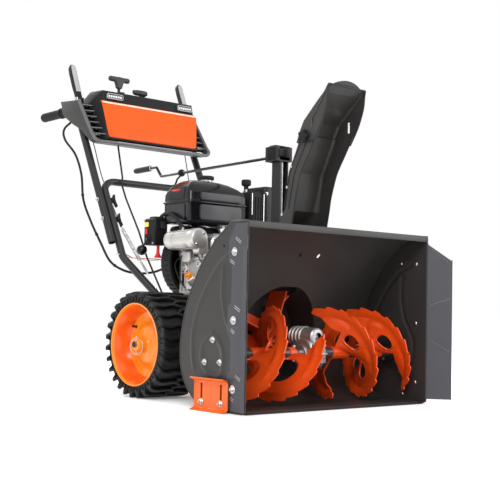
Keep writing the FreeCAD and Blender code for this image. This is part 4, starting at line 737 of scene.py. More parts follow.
def build_wheels():
    """Carcass, lugs, rim, hub, axle end, ring clip and valve of each wheel."""
    for side, name in SIDES:
        hub = (side * WHEEL_X, *HUB)
        axis = (side, 0, 0)
        carcass = lathe([(126.5, -84), (128, -82), (134, -81), (144, -82), (149, -79), (150.4, -72),
                         (150.8, -36), (151, 0), (150.8, 36), (150.4, 72), (149, 79), (144, 82),
                         (134, 81), (128, 82), (126.5, 84), (124.5, 80), (126, 0), (124.5, -80)],
                        hub, axis, 132)
        piece("carcass_" + name, closed_lathe(carcass, 132), "tyre_black", "wheels",
              ("tyres",) if side < 0 else (), angle=50)
        lugs = [tyre_lug(side, edge, 360 / LUG_COUNT * (index + (0.5 if edge < 0 else 0)))
                for index in range(LUG_COUNT) for edge in (-1, 1)]
        piece("lugs_" + name, joined(*lugs), "tyre_black", "wheels", bevel=1.3, angle=40)

        def scallop(radius, height, angle, index):
            """Nine hollows round the wall."""
            depth = (0, -5.0, -7.0, -5.0, 0)[index]
            return radius + depth * abs(sin(4.5 * angle)) ** 3, height

        def spokes(radius, height, angle, index):
            """Four dents in the disc."""
            dent = (0, 0.6, 1.0, 0, 0)[min(index, 4)]
            return radius, height - 5.0 * dent * max(0, cos(4 * angle)) ** 2

        wall = lathe([(120, 79), (116, 68), (112, 52), (108, 40), (100, 31)], hub, axis, 108, lobes=scallop)
        disc = lathe([(100, 31), (90, 30), (74, 31), (64, 33), (57, 40), (50, 43), (30, 44), (24, 47),
                      (20.5, 54), (19.5, 78), (18, 80), (9.6, 80), (9.6, 40)], hub, axis, 108, lobes=spokes)
        lip = lathe([(121, 78), (124.5, 81), (127, 85), (126, 87), (122.5, 86), (120, 79)], hub, axis, 108)
        back = lathe([(121, 78), (117, 60), (113, 10), (117, -50), (121, -78), (124.5, -81), (127, -86),
                      (124.5, -86.5), (120, -82), (114, -54), (109, 6), (109, 20), (98, 22), (66, 23),
                      (59, 30), (54, 36), (48, 39), (24, 40), (20, 36), (19, 27), (9.6, 27), (9.6, 40)],
                     hub, axis, 108)
        # The disc takes a lighter, yellower orange than the wall: painted light on the disc and painted
        # shade on the wall of one painted rim.
        piece("rim_" + name, joined(lip, disc, back), "orange_gloss", "wheels",
              ("rims",) if side < 0 else (), angle=50, look="orange_disc")
        piece("rim_shaded_wall_" + name, wall, "orange_gloss", "wheels", angle=50)
        tip = (side * 332, *HUB)
        end = lathe([(9.5, -8), (9.5, 0), (8.3, 1.6), (3, 1.8), (2.5, 0.6), (0.02, 0.4)], tip, axis, 32,
                    LAST)
        piece("axle_end_" + name, end, "black_steel", "wheels")
        ring = []
        for step in range(40):
            turn = 2 * pi * step / 40
            ring.append((side * (322 + 6 * cos(turn)), WHEEL_Y + 25 * cos(turn),
                         WHEEL_Z - 5 + 25 * sin(turn)))
        clip = joined(sweep(ring, 1.3, 10, loop=True),
                      sweep([(side * 322, WHEEL_Y, WHEEL_Z - 26), (side * 322, WHEEL_Y, WHEEL_Z + 26)],
                            3.0, 16))
        piece("ring_clip_" + name, clip, "zinc_steel", "wheels")
        valve = lathe([(4.5, 0), (4.5, 4), (3, 5), (3, 9), (4, 9), (4, 14), (3.4, 15), (0.02, 15)],
                      (side * 276, WHEEL_Y + 70, WHEEL_Z + 52), (side, 0.25, 0.15), 20, caps=BOTH)
        piece("valve_" + name, valve, "rubber_black", "wheels")


def closed_lathe(geometry, sides):
    """Joins the last ring of a lathe back to its first."""
    points, faces = geometry
    last = len(points) - sides
    faces = faces + [(last + i, last + (i + 1) % sides, (i + 1) % sides, i) for i in range(sides)]
    return points, faces


# ------------------------------------------------------------------ console and handles

def stadium(front, back, normal, radius):
    """A rounded strip between two points, as a closed ring of points."""
    front, back, normal = Vector(front), Vector(back), Vector(normal).normalized()
    along = (back - front).normalized()
    normal = (normal - along * normal.dot(along)).normalized()
    ring = []
    for centre, sign in ((front + along * radius, -1), (back - along * radius, 1)):
        for step in range(6):
            turn = pi * step / 5
            ring.append(centre + along * (sign * sin(turn) * radius)
                        + normal * (-sign * cos(turn) * radius))
    return ring


def build_console():
    """Shell, slats, strap with its bead, panel, lamps and slot frames."""
    def shell_ring(x, grow, share):
        """The shell's outline at x; share runs from its middle to its end."""
        middle = [(966, 852), (1006, 1033), (1096, 1040), (1096, 930), (1012, 852)]
        end = [(978, 854), (1076, 996), (1140, 1001), (1120, 940), (1016, 854)]
        ring = [(y0 + (y1 - y0) * share, z0 + (z1 - z0) * share)
                for (y0, z0), (y1, z1) in zip(middle, end)]
        cy, cz = sum(p[0] for p in ring) / 5, sum(p[1] for p in ring) / 5
        ring = [(cy + (y - cy) * grow, cz + (z - cz) * grow) for y, z in ring]
        return [(x, y, z) for y, z in rounded(ring, 9, 4)]

    half = [(192, 1, 0), (196, 1, 0.08), (202, 1, 0.5), (207, 1, 0.96), (208.4, 0.97, 1), (209, 0.9, 1)]
    rings = [shell_ring(-x, grow, share) for x, grow, share in reversed(half)]
    rings += [shell_ring(x, grow, share) for x, grow, share in half]
    slats = []
    for side in (-1, 1):
        for index in range(6):
            z = 872 + 22 * index
            y = 968 + (z - 846) * 0.735
            path = [(side * 194, y - 12, z), (side * 206, y - 8, z), (side * 220, y - 3, z),
                    (side * 236, y + 2, z), (side * 251, y + 3, z)]
            section = oblong(-13, 13, -2.0, 2.0, 1.9, 3)
            slats.append(moved(sweep(path, 1.0, section=section, up=(0, 0.1, 1)), move=(0, 11, 0)))
    piece("console_shell_skin", rings_mesh(rings), "black_plastic", "machine", ("console_shell",),
          bevel=1.0, angle=24)
    piece("console_slats", joined(*slats), "black_plastic", look="slat_grey", angle=40)
    outline = rounded([(1000, 858), (1090, 985), (1130, 990), (1112, 940), (1030, 866)], 6)
    backs = [plate(outline, "x", low, low + 38) for low in (-246, 208)]
    piece("console_backs", joined(*backs), "black_plastic", bevel=1.5)

    # The strap round the bottom and both ends.
    side_line = [((1079, 999), (1200, 1009)), ((1062, 976), (1174, 952)), ((1036, 941), (1106, 914)),
                 ((1006, 900), (1048, 888)), ((988, 876), (1022, 866))]
    stations = [((-249.6, *front), (-249.6, *back), (-1, 0, 0)) for front, back in side_line]
    for step in range(7):
        turn = radians(15 * step)
        c, s = cos(turn), sin(turn)
        stations.append(((-223 - 26.6 * c, 966 + 8 * (1 - s), 843 + 18 * (1 - s)),
                         (-223 - 26.6 * c, 997 + 7 * (1 - s), 842.5 + 14 * (1 - s)), (-c, -s * 0.1, -s)))
    stations += [((x, 966, 843), (x, 997, 842.5), (0, -0.1, -1)) for x in (-160, -80, 0)]
    stations += [((-f[0], f[1], f[2]), (-b[0], b[1], b[2]), (-n[0], n[1], n[2]))
                 for f, b, n in reversed(stations[:-1])]
    strap = rings_mesh([stadium(f, b, n, 4.3) for f, b, n in stations])
    piece("console_strap", strap, "black_plastic", "machine", ("console_bezel",), look="strap_grey",
          bevel=0.8, angle=45)

    # A rounded bead runs along the strap's front edge, drawn lighter than the strap as a painted highlight.
    edge = [front for front, *_ in stations]
    bead = smooth_path([(x, y - 3, z + (1.5 if abs(x) < 200 else 0)) for x, y, z in edge], 4)
    piece("console_strap_bead", sweep(bead, 6.2, 14), "black_plastic", look="highlight_grey", angle=50)
    # A thin pale grey line above the bead is a painted highlight.
    glint = smooth_path([(x, y - 8.2, z + 4.6) for x, y, z in edge if abs(x) < 190], 4)
    piece("console_strap_glint", sweep(glint, 1.5, 8), "black_plastic", look="pale_grey", angle=60)

    # The coloured panel; the pale orange strip along its top fold is a painted highlight.
    def face_y(z):
        """The front of the sloping panel at a height."""
        return 966 + (z - 852) * 0.221

    rows = []
    for z, out, half in ((863, 0.5, 178), (865, 3.2, 185), (870, 4.0, 189), (900, 4.6, 194),
                         (940, 5.0, 199.5), (972, 4.8, 203.5), (983, 4.2, 205), (992, 0.6, 206),
                         (994, -1.5, 206)):
        row = []
        for step in range(25):
            share = -1 + 2 * step / 24
            edge = max(0, abs(share) - 0.985) * 260
            row.append((share * half, face_y(z) - out + edge, z))
        rows.append(row)
    piece("console_face", rings_mesh(rows, False, NEITHER), "orange_plastic", "machine",
          ("console_panel",), solid=1.6, angle=25)

    # A pale orange strip over the top fold: painted highlight.
    band = [[(share * half, face_y(z) - out, z) for share in [-1 + i / 12 for i in range(25)]]
            for z, half, out in ((985, 204.4, 5.6), (988, 204.9, 5.2), (991, 205.4, 3.4))]
    piece("console_face_highlight", rings_mesh(band, False, NEITHER), "orange_plastic", look="highlight_orange",
          solid=1.0)

    # Lamp strips: a frame, a lens and a row of small cells.
    frames, lenses, cells = [], [], []
    for side in (-1, 1):
        cx = side * 152
        outline = oblong(-33, 33, -10, 10, 5.5)
        inner = oblong(-30, 30, -7.4, 7.4, 4)
        ring = [[(cx + u * k, -9.6 + d, 1012.5 + v * k) for u, v in loop] for loop, k, d in
                ((outline, 1, 7), (outline, 1, 1.2), (outline, 0.98, 0), (inner, 1.02, 0), (inner, 1, 3.5))]
        frames.append(moved(rings_mesh(ring, True, LAST), move=(0, 1001.4, 0)))
        cells += [lathe([(4.0, 0.6), (4.2, -1.2), (3.4, -2.6), (1.8, -3.4), (0.02, -3.6)],
                        (cx - 24 + index * 9.6, 995.6, 1012.5), Y, 16, FIRST) for index in range(6)]
        lens = [[(cx + u * k, d, 1012.5 + v * k) for u, v in inner] for k, d in
                ((1, 996.6), (1, 995.2), (0.9, 994.7))]
        lenses.append(rings_mesh(lens))
    piece("lamp_frames", joined(*frames), "lamp_lens", "machine", ("headlights",), look="lamp_rim",
          angle=35)
    piece("lamp_backs", joined(*lenses), "lamp_lens", look="lamp_dark")
    piece("lamp_cells", joined(*cells), "lamp_lens")
    for x, half, name in ((SHIFT_X, 13, "shift"), (TILT_X, 10, "tilt")):
        outline = oblong(-half * 0.7, half * 0.7, -28, 28, 5)
        slot = rings_mesh([[(x + u * k, SELECTOR_Y + v * k, 1037.3 + d) for u, v in outline]
                           for k, d in ((1.1, 0), (1.05, 1.8), (0.85, 1.8), (0.8, -2))])
        piece("slot_frame_" + name, slot, "rubber_black", bevel=0.4)


def selector_stem(name, body, x, half, radius, reach, top):
    """The flat stem of a selector and the eye that it swings on."""
    y, z = SELECTOR_Y, SELECTOR_Z
    stem = plate(oblong(y - half, y + half, z, top, 2), "x", x - reach, x + reach)
    edge = radius[1] - 0.4
    eye = lathe([(4.1, -radius[0]), (edge, -radius[0]), (radius[1], -radius[0] + 0.6),
                 (radius[1], radius[0] - 0.6), (edge, radius[0]), (4.1, radius[0])], (x, y, z), X, 28)
    piece(name, joined(stem, eye), "black_steel", body)


def build_selectors():
    """The T grip of the speed selector and the flat knob for the hood."""
    y = SELECTOR_Y
    neck = [[(SHIFT_X + u, y + v, level) for u, v in oblong(-wide, wide, -deep, deep, 6, 4)]
            for level, wide, deep in ((1047, 5, 4), (1055, 6, 5), (1058, 11, 8.5), (1066, 13, 9),
                                      (1078, 17, 9), (1086, 26, 9.5), (1092, 30, 8))]
    bar = lathe(spindle((5, 42.6), (8.4, 40), (9.8, 35), (9.4, 14), (10.4, 0), end=43),
                (SHIFT_X, y, 1089), X, 28)
    piece("shift_grip", joined(rings_mesh(neck), bar), "black_plastic", "shift_lever", ("shift_lever",),
          angle=40, look="strap_grey")
    selector_stem("shift_stem", "shift_lever", SHIFT_X, 6, (5, 9), 2.4, 1062)
    knob = []
    for level, k in ((1045, 0.72), (1047, 0.9), (1050, 1), (1058, 1), (1061, 0.93), (1062, 0.8),
                     (1061, 0.6)):
        ring = []
        for step in range(48):
            turn = 2 * pi * step / 48
            scoop = 1 - 0.05 * abs(sin(4 * turn))
            ring.append((TILT_X + 33 * k * scoop * cos(turn), y + 14 * k * scoop * sin(turn), level))
        knob.append(ring)
    piece("tilt_knob", rings_mesh(knob), "black_plastic", "tilt_lever", ("tilt_lever",), angle=40,
          look="strap_grey")
    selector_stem("tilt_stem", "tilt_lever", TILT_X, 5, (4, 8), 2, 1048)


def build_levers_and_grips():
    """Squeeze levers with pale faces, ribbed grips and their collars."""
    up = Vector((0, 0.4226, 0.9063))
    ahead = Vector((0, -0.9063, 0.4226))
    for side, name in SIDES:
        x = side * HANDLE_X
        base = Vector((x, 1096, 1003))
        blade, face = [], []
        for level, half, deep in ((-9, 7, 5), (-6, 9.5, 6), (4, 11, 8), (20, 10.8, 9), (60, 11.3, 10.5),
                                  (110, 11.5, 11), (136, 11.3, 10.5), (145, 9, 8.4), (149.5, 4, 4)):
            bend = 2.5 * sin(pi * max(0, level) / 150)
            blade.append([base + up * level + ahead * (v - bend) + Vector((u, 0, 0))
                          for u, v in oblong(-half, half, -deep, deep, 3.4, 4)])
        for level, half in ((30, 6), (33, 8.2), (110, 8.8), (134, 8.4), (141, 5.5)):
            bend = 2.5 * sin(pi * level / 150)
            face.append([base + up * level + ahead * (v - bend) + Vector((u, 0, 0))
                         for u, v in oblong(-half - 1, half + 1, 6, 12.4, 1.2, 3)])
        boss = lathe([(4.1, -11.5), (10, -11.5), (11, -10.5), (11, 10.5), (10, 11.5), (4.1, 11.5)], base,
                     X, 32)
        piece("lever_blade_" + name, joined(rings_mesh(blade), boss), "black_plastic", "lever_" + name,
              ("lever_" + name,), angle=40)
        piece("lever_face_" + name, rings_mesh(face), "black_plastic", "lever_" + name, look="pale_grey",
              angle=40)
        profile = [(12.7, 0), (18.5, 0), (19.5, 1), (19.5, 6), (18.5, 7), (16, 8)]
        for index in range(11):
            profile += [(r, 14 + index * 10 + h) for r, h in
                        ((16.3, 0), (16.5, 1), (16.5, 6.5), (15.6, 7.6), (15.6, 9))]
        profile += [(16.3, 125), (16.4, 133), (14.5, 137), (9, 138), (0.02, 138)]
        piece("grip_" + name, lathe(profile, (x, 1212, 971), Y, 40), "rubber_black",
              "machine", ("handle_grips",) if side < 0 else ())
        collar = lathe([(12.8, 0), (15.2, 0), (15.6, 1), (15.6, 8), (15.2, 9), (12.8, 9)],
                       (x, 1200, 971), Y, 36)
        piece("grip_collar_" + name, collar, "black_plastic")


def build_clamps():
    """Wing knobs on the inside and capped bolts outside, where the handle tubes meet."""
    knobs, heads = [], []
    for side in (-1, 1):
        for height in (638.0, 571.0):
            y = 900 + (height - 575) * 0.531
            inside, outside = side * (209 - 12.7), side * (HANDLE_X + 12.7)
            hub = lathe([(10, 0), (10, 5), (8, 9), (8, 14), (6, 17), (0.02, 18)], (inside, y, height),
                        (-side, 0, 0), 28, FIRST)
            wing = []
            for level, wide, deep in ((-24, 5, 2), (-22, 7, 3.2), (-12, 6.5, 4), (0, 6, 4.6), (12, 6.5, 4),
                                      (22, 7, 3.2), (24, 5, 2)):
                lean = abs(level) * 0.22
                wing.append([(inside - side * (12 + lean) + v, y + u, height + level) for u, v in
                             oblong(-wide, wide, -deep, deep, 2.4, 3)])
            knobs += [hub, moved(rings_mesh(wing), turn=(X, -28), centre=(inside, y, height))]
            heads.append(bolt((outside, y, height), (side, 0, 0), 5.2, 1.4, 5))
    piece("wing_knobs", joined(*knobs), "black_plastic", "machine", ("handle_knobs",), angle=40)
    piece("clamp_bolts", joined(*heads), "zinc_steel")


def helix(start, end, radius, turns):
    """The path of a coil spring with straight ends."""
    start, end = Vector(start), Vector(end)
    axis, side, up = frame_of(end - start)
    length = (end - start).length
    path = [start]
    steps = 14
    total = turns * steps
    for step in range(total + 1):
        turn = 2 * pi * step / steps
        path.append(start + axis * (length * (0.06 + 0.88 * step / total))
                    + side * (radius * cos(turn)) + up * (radius * sin(turn)))
    path.append(end)
    return path


def build_cables():
    """Sheathed cables with return springs, the harness and two thin wires."""
    sheaths, springs, links = [], [], []
    for side in (-1, 1):
        path = smooth_path([(side * 205, 1078, 904), (side * 199, 1047, 836), (side * 191, 1003, 725),
                            (side * 178, 933, 600), (side * 170, 905, 548)], 10)
        sheaths.append(sweep(path, 1.7, 8))
        sheaths.append(sweep([path[-1], path[-8]], 3.2, 12))
        springs.append(sweep(helix((side * 170, 905, 548), (side * 150, 810, 428), 6.2, 26), 1.15, 6))
        links.append(sweep([(side * 150, 810, 428), (side * 118, 716, 296)], 2.0, 10))
        links.append(sweep([(side * 150, 810, 428), (side * 141, 783, 391)], 4.2, 12))
    piece("cable_sheaths", joined(*sheaths), "rubber_black", "machine", ("control_cables",))
    piece("return_springs", joined(*springs), "bare_steel", look="zinc_steel")
    piece("spring_links", joined(*links), "zinc_steel")
    harness = smooth_path([(-242, 1120, 935), (-259, 1156, 903), (-266, 1135, 862), (-264, 1064, 802),
                           (-258, 1030, 730), (-261, 1006, 640), (-258, 955, 560), (-253, 902, 492),
                           (-237, 864, 428), (-200, 842, 399), (-150, 828, 389), (-103, 805, 394),
                           (-84, 755, 409), (-82, 720, 410)], 10)
    ties = [lathe([(4.2, -3), (5.4, -2.6), (5.4, 2.6), (4.2, 3)], harness[i], harness[i + 1] - harness[i],
                  16) for i in (48, 66, 84)]
    piece("harness", joined(sweep(harness, 4.0, 14), *ties), "rubber_black", "machine", ("wire_harness",))
    for color, shift in (("red_wire", 3.0), ("pale_wire", -3.0)):
        wire = smooth_path([(-228, 836 + shift, 452), (-196, 826, 446 + shift), (-160, 835, 440),
                            (-120, 800, 436 + shift), (-98, 755, 436), (-92, 721, 436 + shift)], 8)
        piece(color, sweep(wire, 1.5, 8), "rubber_black", look=color)


def build_crank():
    """The ribbed sleeve of the crank and the guide that holds its rod."""
    start, eye = Vector((9.3, 325.0, 750.5)), Vector((97.3, 930.0, 762.4))
    along = (eye - start).normalized()
    lift = Vector((0, 0, 38))
    knee = start + along * 815 + lift
    base = knee + along * 50
    profile = [(5.2, 0), (9.5, 0), (11, 1.5), (11, 10), (10, 12)]
    for index in range(9):
        profile += [(r, h + index * 12) for r, h in ((10.8, 17), (11, 18), (11, 24), (10.2, 26))]
    profile += [(10.8, 124), (9.8, 129), (5.2, 130)]
    piece("crank_sleeve", lathe(profile, base, along, 32), "rubber_black", "crank_grip",
          ("crank_grip",))
    ring = lathe([(5.0, -9), (7.5, -9), (8.5, -8), (8.5, -2), (7.5, -1), (5.0, -1)], base, along, 28)
    piece("crank_washer", ring, "zinc_steel", "crank")
    cap = lathe([(5.0, 131), (9, 131), (9, 134), (6, 137), (0.02, 137)], base, along, 28)
    piece("crank_cap", cap, "black_plastic", "crank")
    knob = lathe([(5.3, -9), (9, -8.6), (12.6, -5), (13.6, 0), (12.6, 5), (9, 8.6), (5.3, 9)], eye, along,
                 32)
    stem = sweep([(eye.x, eye.y + 3, eye.z - 8), (eye.x, 955, 742), (eye.x, 967, 722)], 3.4, 14)
    band = lathe([(12.9, -8), (14.6, -8), (14.9, -7), (14.9, 7), (14.6, 8), (12.9, 8)],
                 (eye.x, 971, 708), X, 32)
    piece("rod_knob", joined(knob, stem, band), "black_plastic", "machine", ("rod_guide",), angle=40)


# ------------------------------------------------------------------ engine

WING_FLARE, WING_REACH = 40.0, 76.0


def slab(low, high, corner, levels, axis="z"):
    """A block with rounded corners; `levels` gives (share of the height, inset) pairs."""
    x0, y0, z0 = low
    x1, y1, z1 = high
    u0, u1, v0, v1, w0, w1 = {"z": (x0, x1, y0, y1, z0, z1), "y": (x0, x1, z0, z1, y0, y1),
                              "x": (y0, y1, z0, z1, x0, x1)}[axis]
    rings = []
    limit = 0.4 * min(u1 - u0, v1 - v0)
    for share, inset in levels:
        inset = min(inset, limit)
        loop = oblong(u0 + inset, u1 - inset, v0 + inset, v1 - inset, max(0.5, corner - inset * 0.5), 6)
        rings.append([on_axis(axis, u, v, w0 + (w1 - w0) * share) for u, v in loop])
    return rings_mesh(rings)


SOFT = ((0, 4), (0.02, 1.5), (0.06, 0), (0.94, 0), (0.98, 1.5), (1, 4))


def build_tank():
    """Tank with a seam, sunk panels, a plain plate and its cap."""
    # Each level gives its height and how far it stands in from the left, right, front and back.
    levels = ((548, 8, 8, 12, 8, 13), (551, 3, 3, 4, 3, 14), (556, 0, 0, 0, 0, 15), (611, 0, 0, 0, 0, 15),
              (613, -1, -1, -1, -1, 15), (613.5, -4, -4, -4, -4, 17), (619, -4, -4, -4, -4, 17),
              (619.5, -1, -1, -1, -1, 15), (622, 0, 0, 0, 0, 15), (642, 0, 0, 0, 2, 15),
              (656, 3, 9, 4, 10, 15), (669, 10, 30, 10, 24, 14), (681, 20, 62, 20, 42, 14),
              (688, 32, 92, 32, 56, 13), (690.5, 44, 112, 44, 64, 12))
    rings = []
    for z, left, right, front, back, corner in levels:
        loop = oblong(-145 + left, 95 - right, 548 + front, 696 - back, corner, 7)
        rings.append([(u, v, z) for u, v in loop])
    piece("tank_skin", rings_mesh(rings), "gloss_black", "machine", ("fuel_tank",), bevel=1.2, angle=35)
    panels = [slab((-108, 544.4, 560), (66, 550, 609), 10, SOFT, "y"),
              slab((-108, 544.4, 624), (66, 552, 648), 9, SOFT, "y"),
              slab((-148.0, 572, 560), (-141, 672, 608), 9, SOFT, "x")]
    piece("tank_panels", joined(*panels), "gloss_black", look="tank_grey", angle=35)
    label = [(x, y, z) for x, z in ((-146.0, 626), (-146.0, 642), (-143.2, 656), (-138, 666))
             for y in (580, 660)]
    piece("tank_label", (label, [(i, i + 1, i + 3, i + 2) for i in (0, 2, 4)]), "gloss_black", solid=0.8)
    # A red strip on the sloping left shoulder is a painted reflection.
    reflection_patch = [(-144.6, 606, 652), (-144.6, 650, 652), (-142.4, 650, 659), (-142.4, 606, 659)]
    piece("tank_reflection_patch", (reflection_patch, [(0, 1, 2, 3)]), "gloss_black", look="red_plastic", solid=0.8)
    neck = lathe([(24, 687), (24, 692), (19, 694), (19, 698), (14.2, 698), (14.2, 690)], (-28, 618, 0),
                 Z, 40)
    piece("tank_neck", neck, "zinc_steel")

    def grip(radius, height, angle, index):
        """Flutes round the cap."""
        return (radius - 1.4 * (0.5 + 0.5 * cos(14 * angle)), height) if 1 <= index <= 4 \
            else (radius, height)

    cap = lathe([(20, 698.4), (25, 699), (26, 701), (26, 708), (25, 710.5), (20, 712), (12, 712.3),
                 (0.02, 712.3)], (-28, 618, 0), Z, 112, lobes=grip)
    plug = lathe([(13.6, 690), (13.6, 698.6), (20, 698.4)], (-28, 618, 0), Z, 112, FIRST)
    piece("tank_cap", joined(cap, plug), "black_plastic", "fuel_cap", ("fuel_cap",), angle=40)


BLOCK_BOSSES = ((500, 452), (628, 452), (536, 418), (604, 404), (500, 340))


def build_block():
    """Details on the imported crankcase: cover, ribs, bosses, bolts and the sump plug."""
    x, z = ENGINE_X, ENGINE_Z
    cover = lathe([(60, 478), (74, 474), (80, 472), (80, 468), (62, 466), (56, 458), (30, 456), (20, 462),
                   (12.8, 462)], (x, 0, z), Y, 56)
    ribs = [box((x - 86, y, 330), (x - 80, y + 4, 452)) for y in (500, 520, 584, 604, 624)]
    ribs += [box((x - 85, 484, h), (x - 80, 636, h + 3.5)) for h in (344, 388, 432)]
    bosses = [lathe([(13, -4), (13, 4), (11, 5.5), (0.02, 5.5)], (x - 82, *place), (-1, 0, 0), 28)
              for place in BLOCK_BOSSES]
    filler = lathe([(17, -22), (17, -4), (16, 0), (13.5, 2), (13.5, 6), (8, 6)],
                   (x - 101, 556, 373), (-1, 0, 1), 36)
    pad = slab((x - 96, 524, 330), (x - 78, 592, 392), 12, ((0, 6), (0.5, 2), (1, 0)), "x")
    gov = slab((x - 98, 566, 420), (x - 80, 612, 462), 9, ((0, 5), (0.25, 1), (1, 0)), "x")
    gear = slab((x - 84, 470, 316), (x + 84, 480, 508), 26, ((0, 5), (0.4, 1), (1, 0)), "y")
    piece("block_details", joined(cover, filler, pad, gov, gear, *ribs, *bosses), "engine_alloy", bevel=1.2,
          look="light_alloy", angle=35)
    heads = [bolt((x - 87.5, *place), (-1, 0, 0), 4.2, 1.4, 3.6) for place in BLOCK_BOSSES]
    heads += [bolt((x + dx, 470, z + dz), (0, -1, 0), 4.2, 1.4, 3.6)
              for dx, dz in ((-70, 70), (70, 70), (-74, -96), (70, -96), (-76, -10), (76, -10))]
    heads += [bolt((x + dx, y, 314), Z, 5, 1.6, 4) for y in (500, 630) for dx in (-87, 93)]
    heads.append(bolt((x - 92, 520, 326), (-1, 0, 0), 6.5, 1.3, 7))
    piece("block_bolts", joined(*heads), "zinc_steel")
    # Two dark patches on the block's side are painted shade.
    shade = [slab((x - 83.5, 540, 440), (x - 80, 562, 470), 6, SOFT, "x"),
             slab((x - 83.5, 614, 350), (x - 80, 634, 396), 6, SOFT, "x")]
    piece("block_shade_patches", joined(*shade), "cast_iron")
    rods = [sweep(smooth_path([(x - dx, y, h) for dx, y, h in line], 8), radius, 8) for line, radius in
            ((((96, 590, 452), (102, 560, 462), (98, 520, 440), (90, 498, 400)), 1.6),
             (((92, 612, 446), (100, 640, 420), (94, 632, 380), (88, 600, 340)), 2.2))]
    piece("governor_rods", joined(*rods), "black_steel")
    axis = Vector((-1, 0, 1)).normalized()
    base = Vector((x - 104, 556, 376)) + axis * 0.3

    def wing(radius, height, angle, index):
        """Two wings on the knob."""
        if 3 <= index <= 5:
            return radius * (0.52 + 0.48 * abs(cos(angle)) ** 1.5), height
        return radius, height

    cap = lathe([(6.6, -13), (6.6, 0), (14.6, 0), (14.8, 4), (14.6, 11), (12.5, 12), (0.02, 12)], base,
                axis, 48, FIRST, lobes=wing)
    piece("oil_cap_knob", cap, "orange_plastic", "oil_cap", ("oil_cap",), look="orange_disc", bevel=0.6)


def build_starter():
    """Starter motor with its clamp, ribs and lead."""
    x, z = -152.0, 493.0
    body = lathe([(0.02, 640), (26, 640), (29, 637), (30, 630), (30, 610), (29.2, 608), (29.2, 600),
                  (30, 598), (30, 524), (29, 522), (29, 518), (33, 516), (34, 512), (34, 490), (33, 484),
                  (30, 480), (22, 478), (0.02, 478)], (x, 0, z), Y, 56)
    lobe = slab((x - 6, 480, z - 48), (x + 34, 512, z + 2), 14, SOFT, "y")
    clamp = slab((x + 4, 600, 462), (-110, 640, 510), 8, SOFT, "y")
    ribs = [moved(box((x - 1.6, 530, z + 28.6), (x + 1.6, 594, z + 31.6)), turn=(Y, a),
                  centre=(x, 0, z)) for a in range(-150, 180, 24)]
    piece("starter_body", joined(body, lobe, clamp, *ribs), "engine_alloy", "machine", ("starter_motor",),
          look="light_alloy", bevel=0.8, angle=35)
    heads = [bolt((x + 22 * cos(a), 479.4, z + 22 * sin(a)), (0, -1, 0), 3.6, 1.5, 3)
             for a in (0.9, 0.9 + pi)]
    heads.append(bolt((x - 8, 560, z + 29), (-0.2, 0, 1), 5, 1.5, 6, 3))
    piece("starter_screws", joined(*heads), "zinc_steel")
    lead = smooth_path([(-146, 712, 556), (-150, 694, 574), (-156, 650, 582), (-160, 605, 566),
                        (-160, 575, 540), (-160, 562, 528)], 9)
    piece("starter_lead", joined(sweep(lead, 6.0, 16), sweep([lead[-1], lead[-6]], 8.5, 16)),
          "rubber_black", angle=50)


def build_recoil():
    """Blower shroud with louvres round its rim and a slotted cover."""
    x, z = ENGINE_X, ENGINE_Z
    shell = lathe([(122, 640), (122.5, 643), (122, 650), (121.5, 684), (119, 693), (112, 699.5), (100, 701),
                   (90, 701), (88, 704), (88, 716), (85, 719.4), (76, 720), (40, 720), (36, 717.5),
                   (0.02, 717.5)], (x, 0, z), Y, 96)
    back = lathe([(122, 640), (112, 641), (112, 690), (0.02, 690)], (x, 0, z), Y, 96)
    crown = slab((x - 88, 641, z + 30), (x + 80, 694, 545), 16, SOFT, "y")
    fins = [moved(box((x - 3, 654, z + 121), (x + 3, 688, z + 123.4)), turn=(Y, a), centre=(x, 0, z))
            for a in range(0, 360, 8) if not 300 < a < 342 and not 20 < a < 60]
    vents = [moved(box((x - 2.2, 718.6, z + 44), (x + 2.2, 720.8, z + 74)), turn=(Y, a),
                   centre=(x, 0, z)) for a in range(0, 360, 15)]
    piece("recoil_shell", joined(shell, back, crown, *fins, *vents), "black_plastic", "machine",
          ("fan_housing",), bevel=0.8, angle=35)
    heads = []
    for angle in (20, 110, 200, 290):
        bolt_x, bolt_z = polar((x, z), 104, angle)
        heads.append(bolt((bolt_x, 700.6, bolt_z), Y, 4.2, 1.5, 3.6))
    guide = lathe([(9, 698), (9, 722), (6, 724), (4, 724)], (30, 0, 486), Y, 24, FIRST)
    piece("recoil_bolts", joined(*heads), "zinc_steel")
    piece("cord_guide", guide, "black_plastic")
    grip = lathe(spindle((6, 41.5), (8.8, 38), (9.6, 30), (9, 12), (10, 0), end=42),
                 (30, 740, 486), X, 28)
    neck = lathe([(3, 724.5), (6.4, 725), (8.6, 733), (9, 738)], (30, 0, 486), Y, 24, (True, True))
    piece("cord_grip", joined(grip, neck), "black_plastic", "recoil_handle", ("recoil_handle",), angle=40)
    cord = sweep([(30, 700 + k * 0.9, 486) for k in range(36)], 2.2, 10)
    rope = piece("pull_cord", cord, "rubber_black", None)
    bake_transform(rope)


